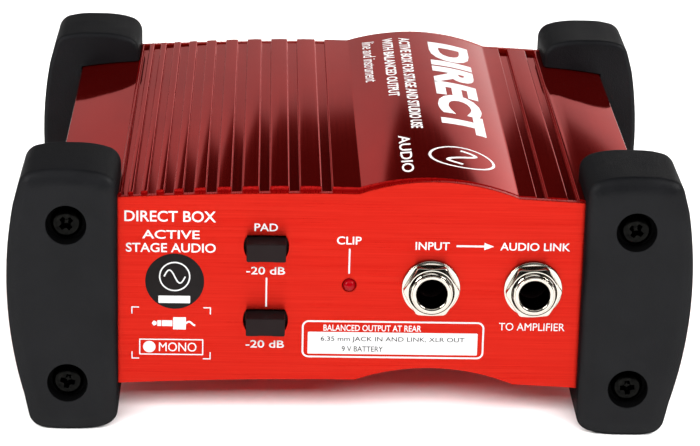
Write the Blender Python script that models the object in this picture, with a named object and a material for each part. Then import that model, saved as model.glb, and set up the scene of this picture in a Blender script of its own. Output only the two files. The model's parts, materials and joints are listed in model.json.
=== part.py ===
"""A direct injection box: an extruded aluminium case between two end panels, held by four rubber bumpers.

Metres, +Z up. The origin is the bottom centre of the box, the front panel faces -Y and +X is to its right.
Outlines across the case are lists of (x, z) points, and round pieces are turned about their own Y axis.
"""

import math

import bmesh
import bpy
from mathutils import Vector

MM = 0.001
GAP = 0.3 * MM  # between pieces that touch

# The whole box, which the four bumpers bound
WIDTH = 148.6 * MM
DEPTH = 130.0 * MM
HEIGHT = 60.0 * MM

# End panels and case, measured outwards from the middle of the box
PANEL_FACE = 60.0 * MM
PANEL_THICKNESS = 1.5 * MM
CASE_END = PANEL_FACE - PANEL_THICKNESS - GAP
CASE_HALF_WIDTH = 64.4 * MM
PANEL_HALF_WIDTH = 64.0 * MM
PANEL_HEIGHT = 43.2 * MM

# The crowned top line: a shallow arc, steeper past the shoulders, with a dome right of the middle
CROWN_TOP = 54.3 * MM
CROWN_RADIUS = 893.0 * MM
SHOULDER = 50.2 * MM
SHOULDER_BEND = 4.0
DOME_LEFT = 1.6 * MM
DOME_RIGHT = 36.3 * MM
DOME_RISE = 3.1 * MM
DOME_STEPS = 14

# Ribs of the case: lands between grooves that run its whole length
GROOVE_DEPTH = 1.1 * MM
RIB_CROWN_TOP = 55.25 * MM
RIB_CROWN_X = -8.0 * MM
RIB_CROWN_RADIUS = 435.0 * MM
RIB_START = -50.2 * MM
FIRST_RIB_PITCH = 1.9 * MM
SECOND_RIB_PITCH = 2.8 * MM
RIB_PITCH_STEP = 0.525 * MM
RIB_COUNT = 10
WIDEST_GROOVE = 2.4 * MM
RIGHT_GROOVES = ((40.0 * MM, 42.3 * MM), (46.8 * MM, 49.2 * MM))
RIGHT_LAND_END = 49.8 * MM
RIGHT_LAND_STEP = 0.1 * MM
RIGHT_LAND_SLOPE = 0.1 * MM  # width of the step down from the last land

# Inside of the case
CASE_WALL = 2.0 * MM
CASE_ROOF = 2.6 * MM
BOARD_BOTTOM = 21.0 * MM
BOARD_THICKNESS = 1.6 * MM
BOARD_TOP = BOARD_BOTTOM + BOARD_THICKNESS
RAIL_HEIGHT = 1.2 * MM
RAIL_DEPTH = 1.5 * MM

# Bumper screws, and the bosses in the case that they thread into
SCREW_X = 61.2 * MM
SCREW_HEIGHTS = {"lower": 11.6 * MM, "upper": 48.0 * MM}
SCREW_SHAFT = 1.6 * MM
SCREW_HOLE = 2.0 * MM
SCREW_HEAD = 3.45 * MM
SCREW_HEAD_HEIGHT = 2.0 * MM
SCREW_LENGTH = 16.0 * MM
SCREW_CROSS = (0.16, 0.56)  # half the width of the cross and its reach, as parts of the head's radius
BOSS_RADIUS = 3.3 * MM
BOSS_LAST_ANGLE = 389  # degrees, just past the roof or the floor

# Bumpers, as an outline of |x| and z, carried along Y
BUMPER_INNER = 50.4 * MM
BUMPER_OUTER = WIDTH / 2
BUMPER_DEPTH = 21.8 * MM
BUMPER_CREST = 61.5 * MM
BUMPER_CREST_RADIUS = 26.0 * MM
BUMPER_FLAT = 1.6 * MM
BUMPER_SIDE_RADIUS = 98.0 * MM
BUMPER_SIDE_Z = 34.0 * MM
BUMPER_CORNER = 3.7 * MM
BUMPER_LOW_CORNER = 69.3 * MM
BUMPER_HIGH_CORNER = 70.7 * MM
BUMPER_FACE_ROUND = 3.0 * MM
BUMPER_LIP_ROUND = 1.2 * MM
RECESS_RADIUS = 4.35 * MM
RECESS_DEPTH = 3.4 * MM

# Front panel
PAD_X = -18.3 * MM
PAD_HEIGHTS = {"lower": 24.85 * MM, "upper": 41.95 * MM}
CLIP_LED = (-0.2 * MM, 33.3 * MM)
JACKS = {"input": 17.6 * MM, "link": 39.85 * MM}
JACK_Z = 33.0 * MM

# Rear panel
REAR_BUTTONS = {"ground_lift": 4.0 * MM, "cabinet": -12.0 * MM, "power": -28.0 * MM}
REAR_BUTTON_Z = BOARD_TOP + GAP + 4.25 * MM
POWER_LED = (-41.0 * MM, REAR_BUTTON_Z)
XLR = (30.0 * MM, 31.3 * MM)

# Push buttons: cap, plunger and switch, with Y counted back from the panel's face
CAP_WIDTH = 8.5 * MM
CAP_HEIGHT = 4.1 * MM
CAP_PROUD = 4.5 * MM
CAP_LENGTH = 7.5 * MM
CAP_FLANGE_GROWTH = 2.2 * MM
CAP_FLANGE_THICKNESS = 0.9 * MM
CAP_SOCKET_DEPTH = 3.2 * MM
PLUNGER_SIDE = 3.0 * MM
PLUNGER_START = 0.0 * MM
PLUNGER_END = 10.0 * MM
BUTTON_TRAVEL = 2.5 * MM
BUTTON_HOLE_RADIUS = 4.8 * MM
BUTTON_HOLE_HALF_HEIGHT = 2.5 * MM
SWITCH_SIDE = 8.5 * MM
SWITCH_START = 6.0 * MM
SWITCH_LENGTH = 12.0 * MM
SWITCH_BORE_END = 13.5 * MM

# Light-emitting diodes
LED_RADIUS = 1.45 * MM
LED_PROUD = 1.3 * MM
LED_FLANGE = 1.9 * MM
LED_HOLE = 1.75 * MM
LED_BASE = 6.0 * MM
LED_LEAD_SIDE = 0.5 * MM
LED_LEAD_SPACING = 1.27 * MM
LED_BEND = 8.5 * MM

# 6.35 mm jack sockets
JACK_BORE = 3.3 * MM
JACK_THREAD = 4.5 * MM
JACK_PROUD = 4.6 * MM
JACK_FLANGE = 6.0 * MM
JACK_FLANGE_THICKNESS = 1.2 * MM
JACK_BODY = (16.0 * MM, 24.2 * MM, 14.0 * MM)
JACK_BORE_LENGTH = 22.0 * MM
JACK_HOLE = 4.8 * MM
WASHER_RADIUS = 6.35 * MM
WASHER_THICKNESS = 0.5 * MM
NUT_ACROSS_FLATS = 11.0 * MM
NUT_THICKNESS = 2.4 * MM
NUT_CHAMFER = 0.8 * MM

# Male XLR socket with a D-size flange
XLR_FLANGE = (26.0 * MM, 31.0 * MM)
XLR_FLANGE_THICKNESS = 1.7 * MM
XLR_FLANGE_CORNER = 3.0 * MM
XLR_BARREL = 11.5 * MM
XLR_CAVITY = 7.9 * MM
XLR_HOLE = 11.9 * MM
XLR_BARREL_LENGTH = 20.0 * MM
XLR_INSERT = (14.0 * MM, 20.0 * MM)
XLR_PIN_RADIUS = 1.2 * MM
XLR_PIN_CIRCLE = 4.05 * MM
XLR_PIN_ANGLES = {"1": 25, "2": 155, "3": 270}
XLR_PIN_SPAN = (2.5 * MM, 24.0 * MM)
XLR_SCREWS = {"upper": (9.5 * MM, 12.0 * MM), "lower": (-9.5 * MM, -12.0 * MM)}
XLR_SCREW_SHAFT = 1.4 * MM
XLR_SCREW_HOLE = 1.75 * MM
XLR_SCREW_HEAD = 2.7 * MM
XLR_SCREW_HEAD_HEIGHT = 1.3 * MM
XLR_SCREW_SUNK = 0.15 * MM
XLR_SCREW_LENGTH = 8.0 * MM

# Boards, battery, transformer and small parts inside
SWITCH_BOARD_Y = -PANEL_FACE + SWITCH_START + SWITCH_LENGTH + GAP
SWITCH_BOARD = ((-31.0 * MM, 4.5 * MM), (15.8 * MM, 48.5 * MM))
MAIN_BOARD_HALF_WIDTH = 62.0 * MM
BATTERY_SIZE = (26.5 * MM, 46.0 * MM, 17.5 * MM)
BATTERY_CORNER = (-57.0 * MM, -35.0 * MM, BOARD_TOP + 1.8 * MM)
TRAY_WALL = 1.2 * MM
TRAY_HEIGHT = 9.0 * MM
CORE_SIZE = (24.0 * MM, 10.0 * MM, 20.0 * MM)
CORE_CENTRE = (12.0 * MM, 8.0 * MM, BOARD_TOP + GAP + 10.0 * MM)
CORE_WINDOW = (4.5 * MM, 13.0 * MM)
CORE_LEG = 3.4 * MM

MATERIALS = {
    "red_anodised": ((0.36, 0.012, 0.010), 0.22, 1.0),
    "red_brushed": ((0.72, 0.030, 0.014), 0.34, 1.0),
    "black_rubber": ((0.022, 0.022, 0.024), 0.62, 0.0),
    "black_steel": ((0.015, 0.015, 0.016), 0.28, 0.6),
    "black_plastic": ((0.020, 0.018, 0.018), 0.45, 0.0),
    "nickel": ((0.78, 0.76, 0.71), 0.16, 1.0),
    "red_lens": ((0.45, 0.004, 0.010), 0.12, 0.0),
    "green_lens": ((0.05, 0.35, 0.08), 0.12, 0.0),
    "contact_metal": ((0.82, 0.66, 0.36), 0.25, 1.0),
    "board_green": ((0.02, 0.16, 0.06), 0.40, 0.0),
    "battery_wrap": ((0.55, 0.56, 0.60), 0.35, 0.3),
    "core_steel": ((0.30, 0.30, 0.31), 0.45, 1.0),
    "winding_tape": ((0.70, 0.45, 0.10), 0.50, 0.0),
    "capacitor_sleeve": ((0.03, 0.04, 0.12), 0.35, 0.0),
    "red_insulation": ((0.50, 0.02, 0.02), 0.50, 0.0),
    "black_insulation": ((0.03, 0.03, 0.03), 0.50, 0.0),
}


# Curves that the outlines share


def dome(x):
    """Height of the dome above its chord at x."""
    half = (DOME_RIGHT - DOME_LEFT) / 2
    radius = (half**2 + DOME_RISE**2) / (2 * DOME_RISE)
    offset = x - (DOME_LEFT + DOME_RIGHT) / 2
    if abs(offset) >= half:
        return 0.0
    return math.sqrt(radius**2 - offset**2) - (radius - DOME_RISE)


def crown(x):
    """Height of the crowned line at x, without its dome."""
    inner = min(abs(x), SHOULDER)
    outer = abs(x) - inner
    slope = SHOULDER / CROWN_RADIUS
    return CROWN_TOP - inner**2 / (2 * CROWN_RADIUS) - slope * outer - SHOULDER_BEND * outer**2


def rib_crown(x):
    """Height of the lands left of the dome."""
    return RIB_CROWN_TOP - (x - RIB_CROWN_X) ** 2 / (2 * RIB_CROWN_RADIUS)


def case_top(x):
    """Height of the case's lands and dome at x."""
    if x < RIB_START or x > RIGHT_LAND_END:
        return crown(x)
    if x <= DOME_LEFT:
        return rib_crown(x)
    if x >= DOME_RIGHT:
        return crown(x) + RIGHT_LAND_STEP
    share = (x - DOME_LEFT) / (DOME_RIGHT - DOME_LEFT)
    left = rib_crown(DOME_LEFT)
    right = crown(DOME_RIGHT) + RIGHT_LAND_STEP
    return left + share * (right - left) + dome(x)


def underside(x):
    """Height of the panels' and the case's lower edge, parallel to the crowned line."""
    return crown(x) + dome(x) - PANEL_HEIGHT


def spaced(start, end, steps):
    """steps + 1 numbers from start to end."""
    return [start + (end - start) * i / steps for i in range(steps + 1)]


def arc(centre, radius, start, end, steps):
    """Points on an arc, with angles in degrees anticlockwise from the first axis."""
    angles = [math.radians(a) for a in spaced(start, end, steps)]
    return [(centre[0] + radius * math.cos(a), centre[1] + radius * math.sin(a)) for a in angles]


def circle(centre, radius, steps=24):
    """Points round a whole circle."""
    return arc(centre, radius, 0, 360, steps)[:-1]


def rectangle(low, high):
    """Corners of a rectangle."""
    return [low, (high[0], low[1]), high, (low[0], high[1])]


def rounded_rectangle(width, height, corner, steps=4):
    """Outline of a rectangle about the origin with round corners."""
    points = []
    for quarter, (side, rise) in enumerate(((1, 1), (-1, 1), (-1, -1), (1, -1))):
        centre = (side * (width / 2 - corner), rise * (height / 2 - corner))
        points += arc(centre, corner, 90 * quarter, 90 * quarter + 90, steps)
    return points


def rounded_corners(points, radii, steps=4):
    """A closed outline whose corners are replaced by quadratic curves that start radius away."""
    smooth = []
    for i, (point, radius) in enumerate(zip(points, radii)):
        corner = Vector(point)
        if radius == 0:
            smooth.append(tuple(corner))
            continue
        before = (Vector(points[i - 1]) - corner).normalized() * radius
        after = (Vector(points[(i + 1) % len(points)]) - corner).normalized() * radius
        for t in spaced(0, 1, steps):
            smooth.append(tuple(corner + before * (1 - t) ** 2 + after * t**2))
    return smooth


# Mesh helpers


def connect(bm, one, two):
    """Faces between two rings of vertices, either of which may be a single point."""
    steps = max(len(one), len(two))
    for i in range(steps):
        j = (i + 1) % steps
        corners = [one[i % len(one)], one[j % len(one)], two[j % len(two)], two[i % len(two)]]
        bm.faces.new(list(dict.fromkeys(corners)))


def finished(bm):
    """The bmesh with its faces pointing outwards."""
    bmesh.ops.recalc_face_normals(bm, faces=bm.faces)
    return bm


def extruded(loops, start, end, axis="Y"):
    """A solid between two planes across the axis. The first loop is its outline and the rest are its holes."""
    bm = bmesh.new()
    for loop in loops:
        if axis == "Y":
            verts = [bm.verts.new((a, start, b)) for a, b in loop]
        else:
            verts = [bm.verts.new((a, b, start)) for a, b in loop]
        for one, two in zip(verts, verts[1:] + verts[:1]):
            bm.edges.new((one, two))
    bmesh.ops.triangle_fill(bm, use_beauty=True, use_dissolve=False, edges=bm.edges[:])
    grown = bmesh.ops.extrude_face_region(bm, geom=bm.faces[:])["geom"]
    shift = Vector((0, end - start, 0)) if axis == "Y" else Vector((0, 0, end - start))
    moved = [v for v in grown if isinstance(v, bmesh.types.BMVert)]
    bmesh.ops.translate(bm, verts=moved, vec=shift)
    return finished(bm)


def turned(profile, segments=24, closed=False):
    """A solid turned about Y from (y, radius) points. A closed profile makes a ring with a bore."""
    bm = bmesh.new()
    rings = []
    for y, radius in profile:
        around = circle((0, 0), radius, segments) if radius else [(0, 0)]
        rings.append([bm.verts.new((x, y, z)) for x, z in around])
    following = rings[1:] + rings[:1] if closed else rings[1:]
    for one, two in zip(rings, following):
        connect(bm, one, two)
    return finished(bm)


def block(low, high):
    """A box between two corners."""
    bm = extruded([rectangle((low[0], low[2]), (high[0], high[2]))], low[1], high[1])
    bmesh.ops.dissolve_limit(bm, angle_limit=0.01, verts=bm.verts, edges=bm.edges)
    return bm


def add_object(name, bm, material, location=(0, 0, 0), turned_round=False):
    """A named object with its own material, turned half a turn about Z if it faces the rear."""
    mesh = bpy.data.meshes.new(name)
    bm.to_mesh(mesh)
    bm.free()
    return add_copy(name, mesh, material, location, turned_round)


def add_copy(name, mesh, material, location, turned_round):
    """An object that shows a mesh, which other objects may share."""
    item = bpy.data.objects.new(name, mesh)
    if not mesh.materials:
        mesh.materials.append(surface(material))
    item.location = location
    item.rotation_euler.z = math.pi if turned_round else 0
    bpy.context.scene.collection.objects.link(item)
    return item


def surface(name):
    """The Principled material of that name."""
    found = bpy.data.materials.get(name)
    if found:
        return found
    colour, roughness, metallic = MATERIALS[name]
    made = bpy.data.materials.new(name)
    made.use_nodes = True
    made.diffuse_color = (*colour, 1)
    shader = made.node_tree.nodes["Principled BSDF"]
    shader.inputs["Base Color"].default_value = (*colour, 1)
    shader.inputs["Roughness"].default_value = roughness
    shader.inputs["Metallic"].default_value = metallic
    return made


def smooth(item, degrees=35):
    """Smooth shading with edges sharper than that angle kept."""
    item.data.shade_smooth()
    item.data.set_sharp_from_angle(angle=math.radians(degrees))
    return item


def combine(item, cutter_bm, operation="DIFFERENCE"):
    """A Boolean modifier on item with a hidden cutter that is parented to it."""
    mesh = bpy.data.meshes.new(item.name + "_cutter")
    cutter_bm.to_mesh(mesh)
    cutter_bm.free()
    cutter = bpy.data.objects.new(mesh.name, mesh)
    cutter.parent = item
    cutter.hide_render = True
    cutter.display_type = "WIRE"
    bpy.context.scene.collection.objects.link(cutter)
    modifier = item.modifiers.new(operation.lower(), "BOOLEAN")
    modifier.operation = operation
    modifier.solver = "EXACT"
    modifier.object = cutter


def bevel(item, width, segments=2):
    """A Bevel modifier on the sharp edges."""
    modifier = item.modifiers.new("bevel", "BEVEL")
    modifier.width = width
    modifier.segments = segments
    modifier.limit_method = "ANGLE"
    modifier.angle_limit = math.radians(40)


# Case and panels


def groove_list():
    """(start, end) of every groove, from left to right."""
    grooves = []
    edge = RIB_START
    for i in range(RIB_COUNT):
        pitch = FIRST_RIB_PITCH if i == 0 else SECOND_RIB_PITCH + RIB_PITCH_STEP * (i - 1)
        width = min(WIDEST_GROOVE, (1.4 + 0.25 * i) * MM)
        edge += pitch
        grooves.append((edge - width, edge))
    return grooves + list(RIGHT_GROOVES)


def case_outline():
    """Outer outline of the case: the ribbed top from left to right, then the plain underside back."""
    points = [(x, crown(x)) for x in spaced(-CASE_HALF_WIDTH, RIB_START, 4)]
    points.append((RIB_START, case_top(RIB_START)))
    for start, end in groove_list():
        if start > DOME_RIGHT > points[-1][0]:
            points += [(x, case_top(x)) for x in spaced(DOME_LEFT, DOME_RIGHT, DOME_STEPS)]
        points += [(start, case_top(start)), (start, case_top(start) - GROOVE_DEPTH)]
        points += [(end, case_top(end) - GROOVE_DEPTH), (end, case_top(end))]
    points.append((RIGHT_LAND_END, case_top(RIGHT_LAND_END)))
    points += [(x, crown(x)) for x in spaced(RIGHT_LAND_END + RIGHT_LAND_SLOPE, CASE_HALF_WIDTH, 4)]
    return points + lower_line(CASE_HALF_WIDTH)


def lower_line(half_width):
    """The underside from right to left."""
    stations = spaced(half_width, DOME_RIGHT, 6)
    stations += spaced(DOME_RIGHT, DOME_LEFT, DOME_STEPS)[1:]
    stations += spaced(DOME_LEFT, -half_width, 10)[1:]
    return [(x, underside(x)) for x in stations]


def case_cavity():
    """Inner outline of the case, with rails for the board and a boss in each corner."""
    wall = CASE_HALF_WIDTH - CASE_WALL
    roof = [(x, case_top(x) - CASE_ROOF) for x in spaced(-50 * MM, 50 * MM, 30)]
    floor = [(x, underside(x) + CASE_WALL) for x in spaced(50 * MM, -50 * MM, 30)]
    return corner(-1, "upper") + roof + corner(1, "upper")[::-1] + rails(wall, -1) + corner(
        1, "lower") + floor + corner(-1, "lower")[::-1] + rails(-wall, 1)


def corner(side, level):
    """The cavity's outline round one screw boss, from the side wall to the roof or the floor."""
    rise = 1 if level == "upper" else -1
    reach = CASE_HALF_WIDTH - CASE_WALL - SCREW_X
    first = 180 + math.degrees(math.acos(reach / BOSS_RADIUS))
    points = arc((0, 0), BOSS_RADIUS, first, BOSS_LAST_ANGLE, 6)
    return [(side * (SCREW_X - x), SCREW_HEIGHTS[level] + rise * z) for x, z in points]


def rails(wall, step):
    """Two ledges on a side wall that hold the board's edge between them."""
    inner = wall + (RAIL_DEPTH if wall < 0 else -RAIL_DEPTH)
    levels = [BOARD_BOTTOM - GAP - RAIL_HEIGHT, BOARD_BOTTOM - GAP, BOARD_TOP + GAP]
    levels.append(levels[-1] + RAIL_HEIGHT)
    points = []
    for low, high in (levels[:2], levels[2:]):
        points += [(wall, low), (inner, low), (inner, high), (wall, high)]
    return points[::step]


def screw_points():
    """Centres of the four screws in a panel."""
    return [(side * SCREW_X, z) for side in (-1, 1) for z in SCREW_HEIGHTS.values()]


def make_case():
    holes = [circle(centre, SCREW_HOLE, 12) for centre in screw_points()]
    bm = extruded([case_outline(), case_cavity(), *holes], -CASE_END, CASE_END)
    smooth(add_object("housing_extrusion", bm, "red_anodised"))


def panel_outline():
    """Outline of an end panel: the crowned top with its dome, then the parallel lower edge."""
    stations = spaced(-PANEL_HALF_WIDTH, DOME_LEFT, 10)
    stations += spaced(DOME_LEFT, DOME_RIGHT, DOME_STEPS)[1:]
    stations += spaced(DOME_RIGHT, PANEL_HALF_WIDTH, 6)[1:]
    return [(x, crown(x) + dome(x)) for x in stations] + lower_line(PANEL_HALF_WIDTH)


def button_hole(centre):
    """A round hole with its top and bottom cut flat."""
    angle = math.degrees(math.asin(BUTTON_HOLE_HALF_HEIGHT / BUTTON_HOLE_RADIUS))
    right = arc(centre, BUTTON_HOLE_RADIUS, -angle, angle, 4)
    left = arc(centre, BUTTON_HOLE_RADIUS, 180 - angle, 180 + angle, 4)
    return right + left


def make_panel(name, openings, face):
    holes = [circle(centre, SCREW_HOLE, 12) for centre in screw_points()]
    back = face - math.copysign(PANEL_THICKNESS, face)
    bm = extruded([panel_outline(), *holes, *openings], face, back)
    smooth(add_object(name, bm, "red_brushed"))


def make_panels():
    front = [button_hole((PAD_X, z)) for z in PAD_HEIGHTS.values()]
    front += [circle((x, JACK_Z), JACK_HOLE) for x in JACKS.values()]
    front.append(circle(CLIP_LED, LED_HOLE, 12))
    make_panel("front_panel", front, -PANEL_FACE)
    rear = [button_hole((x, REAR_BUTTON_Z)) for x in REAR_BUTTONS.values()]
    rear += [circle((XLR[0] + x, XLR[1] + z), XLR_SCREW_HOLE, 12) for x, z in XLR_SCREWS.values()]
    rear += [circle(XLR, XLR_HOLE, 32), circle(POWER_LED, LED_HOLE, 12)]
    make_panel("rear_panel", rear, PANEL_FACE)


# Bumpers and their screws


def crest(x):
    """How far the bumper's top and bottom edges fall at x from their highest line."""
    offset = max(0.0, abs(x - BUMPER_CREST) - BUMPER_FLAT)
    return BUMPER_CREST_RADIUS - math.sqrt(BUMPER_CREST_RADIUS**2 - offset**2)


def bulge(z):
    """The bumper's outer |x| at z."""
    return BUMPER_OUTER - BUMPER_SIDE_RADIUS + math.sqrt(BUMPER_SIDE_RADIUS**2 - (z - BUMPER_SIDE_Z) ** 2)


def bumper_outline():
    """The bumper seen from the front, on the right of the box."""
    stations = (57.0 * MM, BUMPER_CREST - BUMPER_FLAT, BUMPER_CREST + BUMPER_FLAT, 65.0 * MM)
    low = [(x, crest(x)) for x in (BUMPER_INNER, *stations, BUMPER_LOW_CORNER)]
    high = [(x, HEIGHT - crest(x)) for x in (BUMPER_HIGH_CORNER, *stations[::-1], BUMPER_INNER)]
    side = [(bulge(z), z) for z in spaced(10 * MM, 50 * MM, 5)]
    level = [0] * len(stations)
    radii = [BUMPER_CORNER, *level, BUMPER_CORNER] + [0] * len(side) + [BUMPER_CORNER, *level, BUMPER_CORNER]
    return rounded_corners(low + side + high, radii, 3)


def inset(outline, distance):
    """A convex outline moved inwards by a distance, along the mean of its edges' normals."""
    moved = []
    for i, point in enumerate(outline):
        before = Vector(point) - Vector(outline[i - 1])
        after = Vector(outline[(i + 1) % len(outline)]) - Vector(point)
        along = before.normalized() + after.normalized()
        inwards = Vector((-along.y, along.x)).normalized()
        moved.append(Vector(point) + inwards * distance)
    return moved


def bumper_body(side):
    """The bumper before its pocket is cut, at the front of the box on that side of it."""
    outline = bumper_outline()
    front, back = -DEPTH / 2, -DEPTH / 2 + BUMPER_DEPTH
    rounding = arc((front + BUMPER_FACE_ROUND, BUMPER_FACE_ROUND), BUMPER_FACE_ROUND, 180, 270, 3)
    rounding += arc((back - BUMPER_LIP_ROUND, BUMPER_LIP_ROUND), BUMPER_LIP_ROUND, 270, 360, 2)
    bm = bmesh.new()
    loops = []
    for y, distance in rounding:
        loops.append([bm.verts.new((side * x, y, z)) for x, z in inset(outline, distance)])
    for one, two in zip(loops, loops[1:]):
        connect(bm, one, two)
    bm.faces.new(loops[0])
    bm.faces.new(loops[-1])
    return finished(bm)


def pocket(side):
    """The room for the case's corner and the panel's edge inside a bumper."""
    stations = spaced(SHOULDER, CASE_HALF_WIDTH + GAP, 4)
    roof = [(40 * MM, crown(SHOULDER) + GAP)] + [(x, crown(x) + GAP) for x in stations]
    floor = [(x, z - PANEL_HEIGHT - 2 * GAP) for x, z in reversed(roof)]
    outline = [(side * x, z) for x, z in roof + floor]
    return extruded([outline], -PANEL_FACE - GAP, -DEPTH / 2 + BUMPER_DEPTH + 2 * MM)


def screw_recess(side, z):
    """The stepped hole for a screw and its head."""
    face = -DEPTH / 2
    profile = [(face - MM, 0), (face - MM, RECESS_RADIUS), (face + RECESS_DEPTH, RECESS_RADIUS)]
    profile += [(face + RECESS_DEPTH, SCREW_HOLE), (-PANEL_FACE + MM, SCREW_HOLE), (-PANEL_FACE + MM, 0)]
    bm = turned(profile, 20)
    bmesh.ops.translate(bm, verts=bm.verts, vec=(side * SCREW_X, 0, z))
    return bm


def make_bumpers():
    for end, half_turn in (("front", False), ("rear", True)):
        for name, seen_side in (("left", -1), ("right", 1)):
            side = -seen_side if half_turn else seen_side
            item = add_object(f"bumper_{end}_{name}", bumper_body(side), "black_rubber", turned_round=half_turn)
            smooth(item)
            combine(item, pocket(side))
            for z in SCREW_HEIGHTS.values():
                combine(item, screw_recess(side, z))


def screw(head_profile, shaft, length):
    """A screw with a cross recess in its head. The profile runs from the top, and the shaft ends at y = length."""
    top, head = head_profile[0]
    half, reach = SCREW_CROSS[0] * head, SCREW_CROSS[1] * head
    cross = [(reach, half), (half, half), (half, reach), (-half, reach), (-half, half), (-reach, half),
             (-reach, -half), (-half, -half), (-half, -reach), (half, -reach), (half, -half), (reach, -half)]
    profile = head_profile + [(length - shaft, shaft), (length, 0.3 * shaft)]
    bm = bmesh.new()
    rings = [[bm.verts.new((x, y, z)) for x, z in circle((0, 0), radius, 12)] for y, radius in profile]
    for one, two in zip(rings, rings[1:]):
        connect(bm, one, two)
    bm.faces.new(rings[-1])
    rim = [bm.verts.new((x, top, z)) for x, z in cross]
    floor = [bm.verts.new((0.6 * x, 0.25 * top, 0.6 * z)) for x, z in cross]
    connect(bm, rim, floor)
    bm.faces.new(floor)
    edges = [bm.edges.get((one, two)) for one, two in zip(rings[0], rings[0][1:] + rings[0][:1])]
    edges += [bm.edges.get((one, two)) for one, two in zip(rim, rim[1:] + rim[:1])]
    bmesh.ops.triangle_fill(bm, use_beauty=True, use_dissolve=False, edges=edges)
    return finished(bm)


def make_bumper_screws():
    """Eight pan-head screws, whose heads sit in the bumpers' recesses."""
    seat = DEPTH / 2 - RECESS_DEPTH + GAP
    pan = [(-SCREW_HEAD_HEIGHT, 0.72 * SCREW_HEAD), (-0.5 * SCREW_HEAD_HEIGHT, 0.96 * SCREW_HEAD)]
    pan += [(0, SCREW_HEAD), (0, SCREW_SHAFT)]
    mesh = None
    for end, face in (("front", -1), ("rear", 1)):
        for name, side in (("left", -1), ("right", 1)):
            for level, z in SCREW_HEIGHTS.items():
                place = (side * SCREW_X, face * seat, z)
                label = f"screw_{end}_{name}_{level}"
                if mesh is None:
                    bm = screw(pan, SCREW_SHAFT, SCREW_LENGTH)
                    mesh = smooth(add_object(label, bm, "black_steel", place, face > 0)).data
                else:
                    add_copy(label, mesh, "black_steel", place, face > 0)


# Push buttons, each at a panel: local -Y points out of the panel and y = 0 is its face


def cap():
    """A button's cap with a flange behind the panel and a socket for the plunger."""
    half_width, half_height = CAP_WIDTH / 2, CAP_HEIGHT / 2
    return block((-half_width, -CAP_PROUD, -half_height), (half_width, CAP_LENGTH - CAP_PROUD, half_height))


def cap_flange():
    half_width = (CAP_WIDTH + CAP_FLANGE_GROWTH) / 2
    half_height = (CAP_HEIGHT + CAP_FLANGE_GROWTH) / 2
    end = CAP_LENGTH - CAP_PROUD
    return block((-half_width, end - CAP_FLANGE_THICKNESS, -half_height), (half_width, end, half_height))


def square_bar(side, start, end):
    """A square bar along Y."""
    return block((-side / 2, start, -side / 2), (side / 2, end, side / 2))


def make_button(name, x, z, rear):
    place = (x, PANEL_FACE if rear else -PANEL_FACE, z)
    cap_end = CAP_LENGTH - CAP_PROUD
    item = add_object(name + "_button", cap(), "black_plastic", place, rear)
    bevel(item, 0.4 * MM)
    combine(item, cap_flange(), "UNION")
    combine(item, square_bar(PLUNGER_SIDE + 2 * GAP, cap_end - CAP_SOCKET_DEPTH, cap_end + MM))
    plunger = square_bar(PLUNGER_SIDE, PLUNGER_START + GAP, PLUNGER_END)
    add_object(name + "_plunger", plunger, "black_plastic", place, rear)
    body = square_bar(SWITCH_SIDE, SWITCH_START, SWITCH_START + SWITCH_LENGTH)
    item = add_object(name + "_switch", body, "black_plastic", place, rear)
    combine(item, square_bar(PLUNGER_SIDE + 2 * GAP, SWITCH_START - MM, SWITCH_BORE_END))


def make_buttons():
    for level, z in PAD_HEIGHTS.items():
        make_button(f"pad_{level}", PAD_X, z, rear=False)
    for name, x in REAR_BUTTONS.items():
        make_button(name, x, REAR_BUTTON_Z, rear=True)


def make_led(name, material, centre, rear):
    """A 3 mm diode in its hole. Its leads run back to the switch board, or turn down to the main board."""
    place = (centre[0], PANEL_FACE if rear else -PANEL_FACE, centre[1])
    shoulder = PANEL_THICKNESS + GAP
    dome_rings = arc((0, 0), LED_RADIUS, 0, 90, 3)
    profile = [(LED_RADIUS - LED_PROUD - a, b) for a, b in dome_rings]
    profile[0] = (profile[0][0], 0)
    profile += [(shoulder, LED_RADIUS), (shoulder, LED_FLANGE), (LED_BASE, LED_FLANGE), (LED_BASE, 0)]
    item = smooth(add_object(name, turned(profile, 12), material, place, rear))
    half = LED_LEAD_SIDE / 2
    start = LED_BASE - LED_LEAD_SIDE
    end = LED_BEND if rear else PANEL_FACE + SWITCH_BOARD_Y - GAP
    for x in (-LED_LEAD_SPACING, LED_LEAD_SPACING):
        combine(item, block((x - half, start, -half), (x + half, end, half)), "UNION")
        if rear:
            bottom = BOARD_TOP + GAP - centre[1]
            drop = block((x - half, end - LED_LEAD_SIDE, bottom), (x + half, end, 0))
            combine(item, drop, "UNION")


# Jack sockets: local y = 0 is the panel's face


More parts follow.
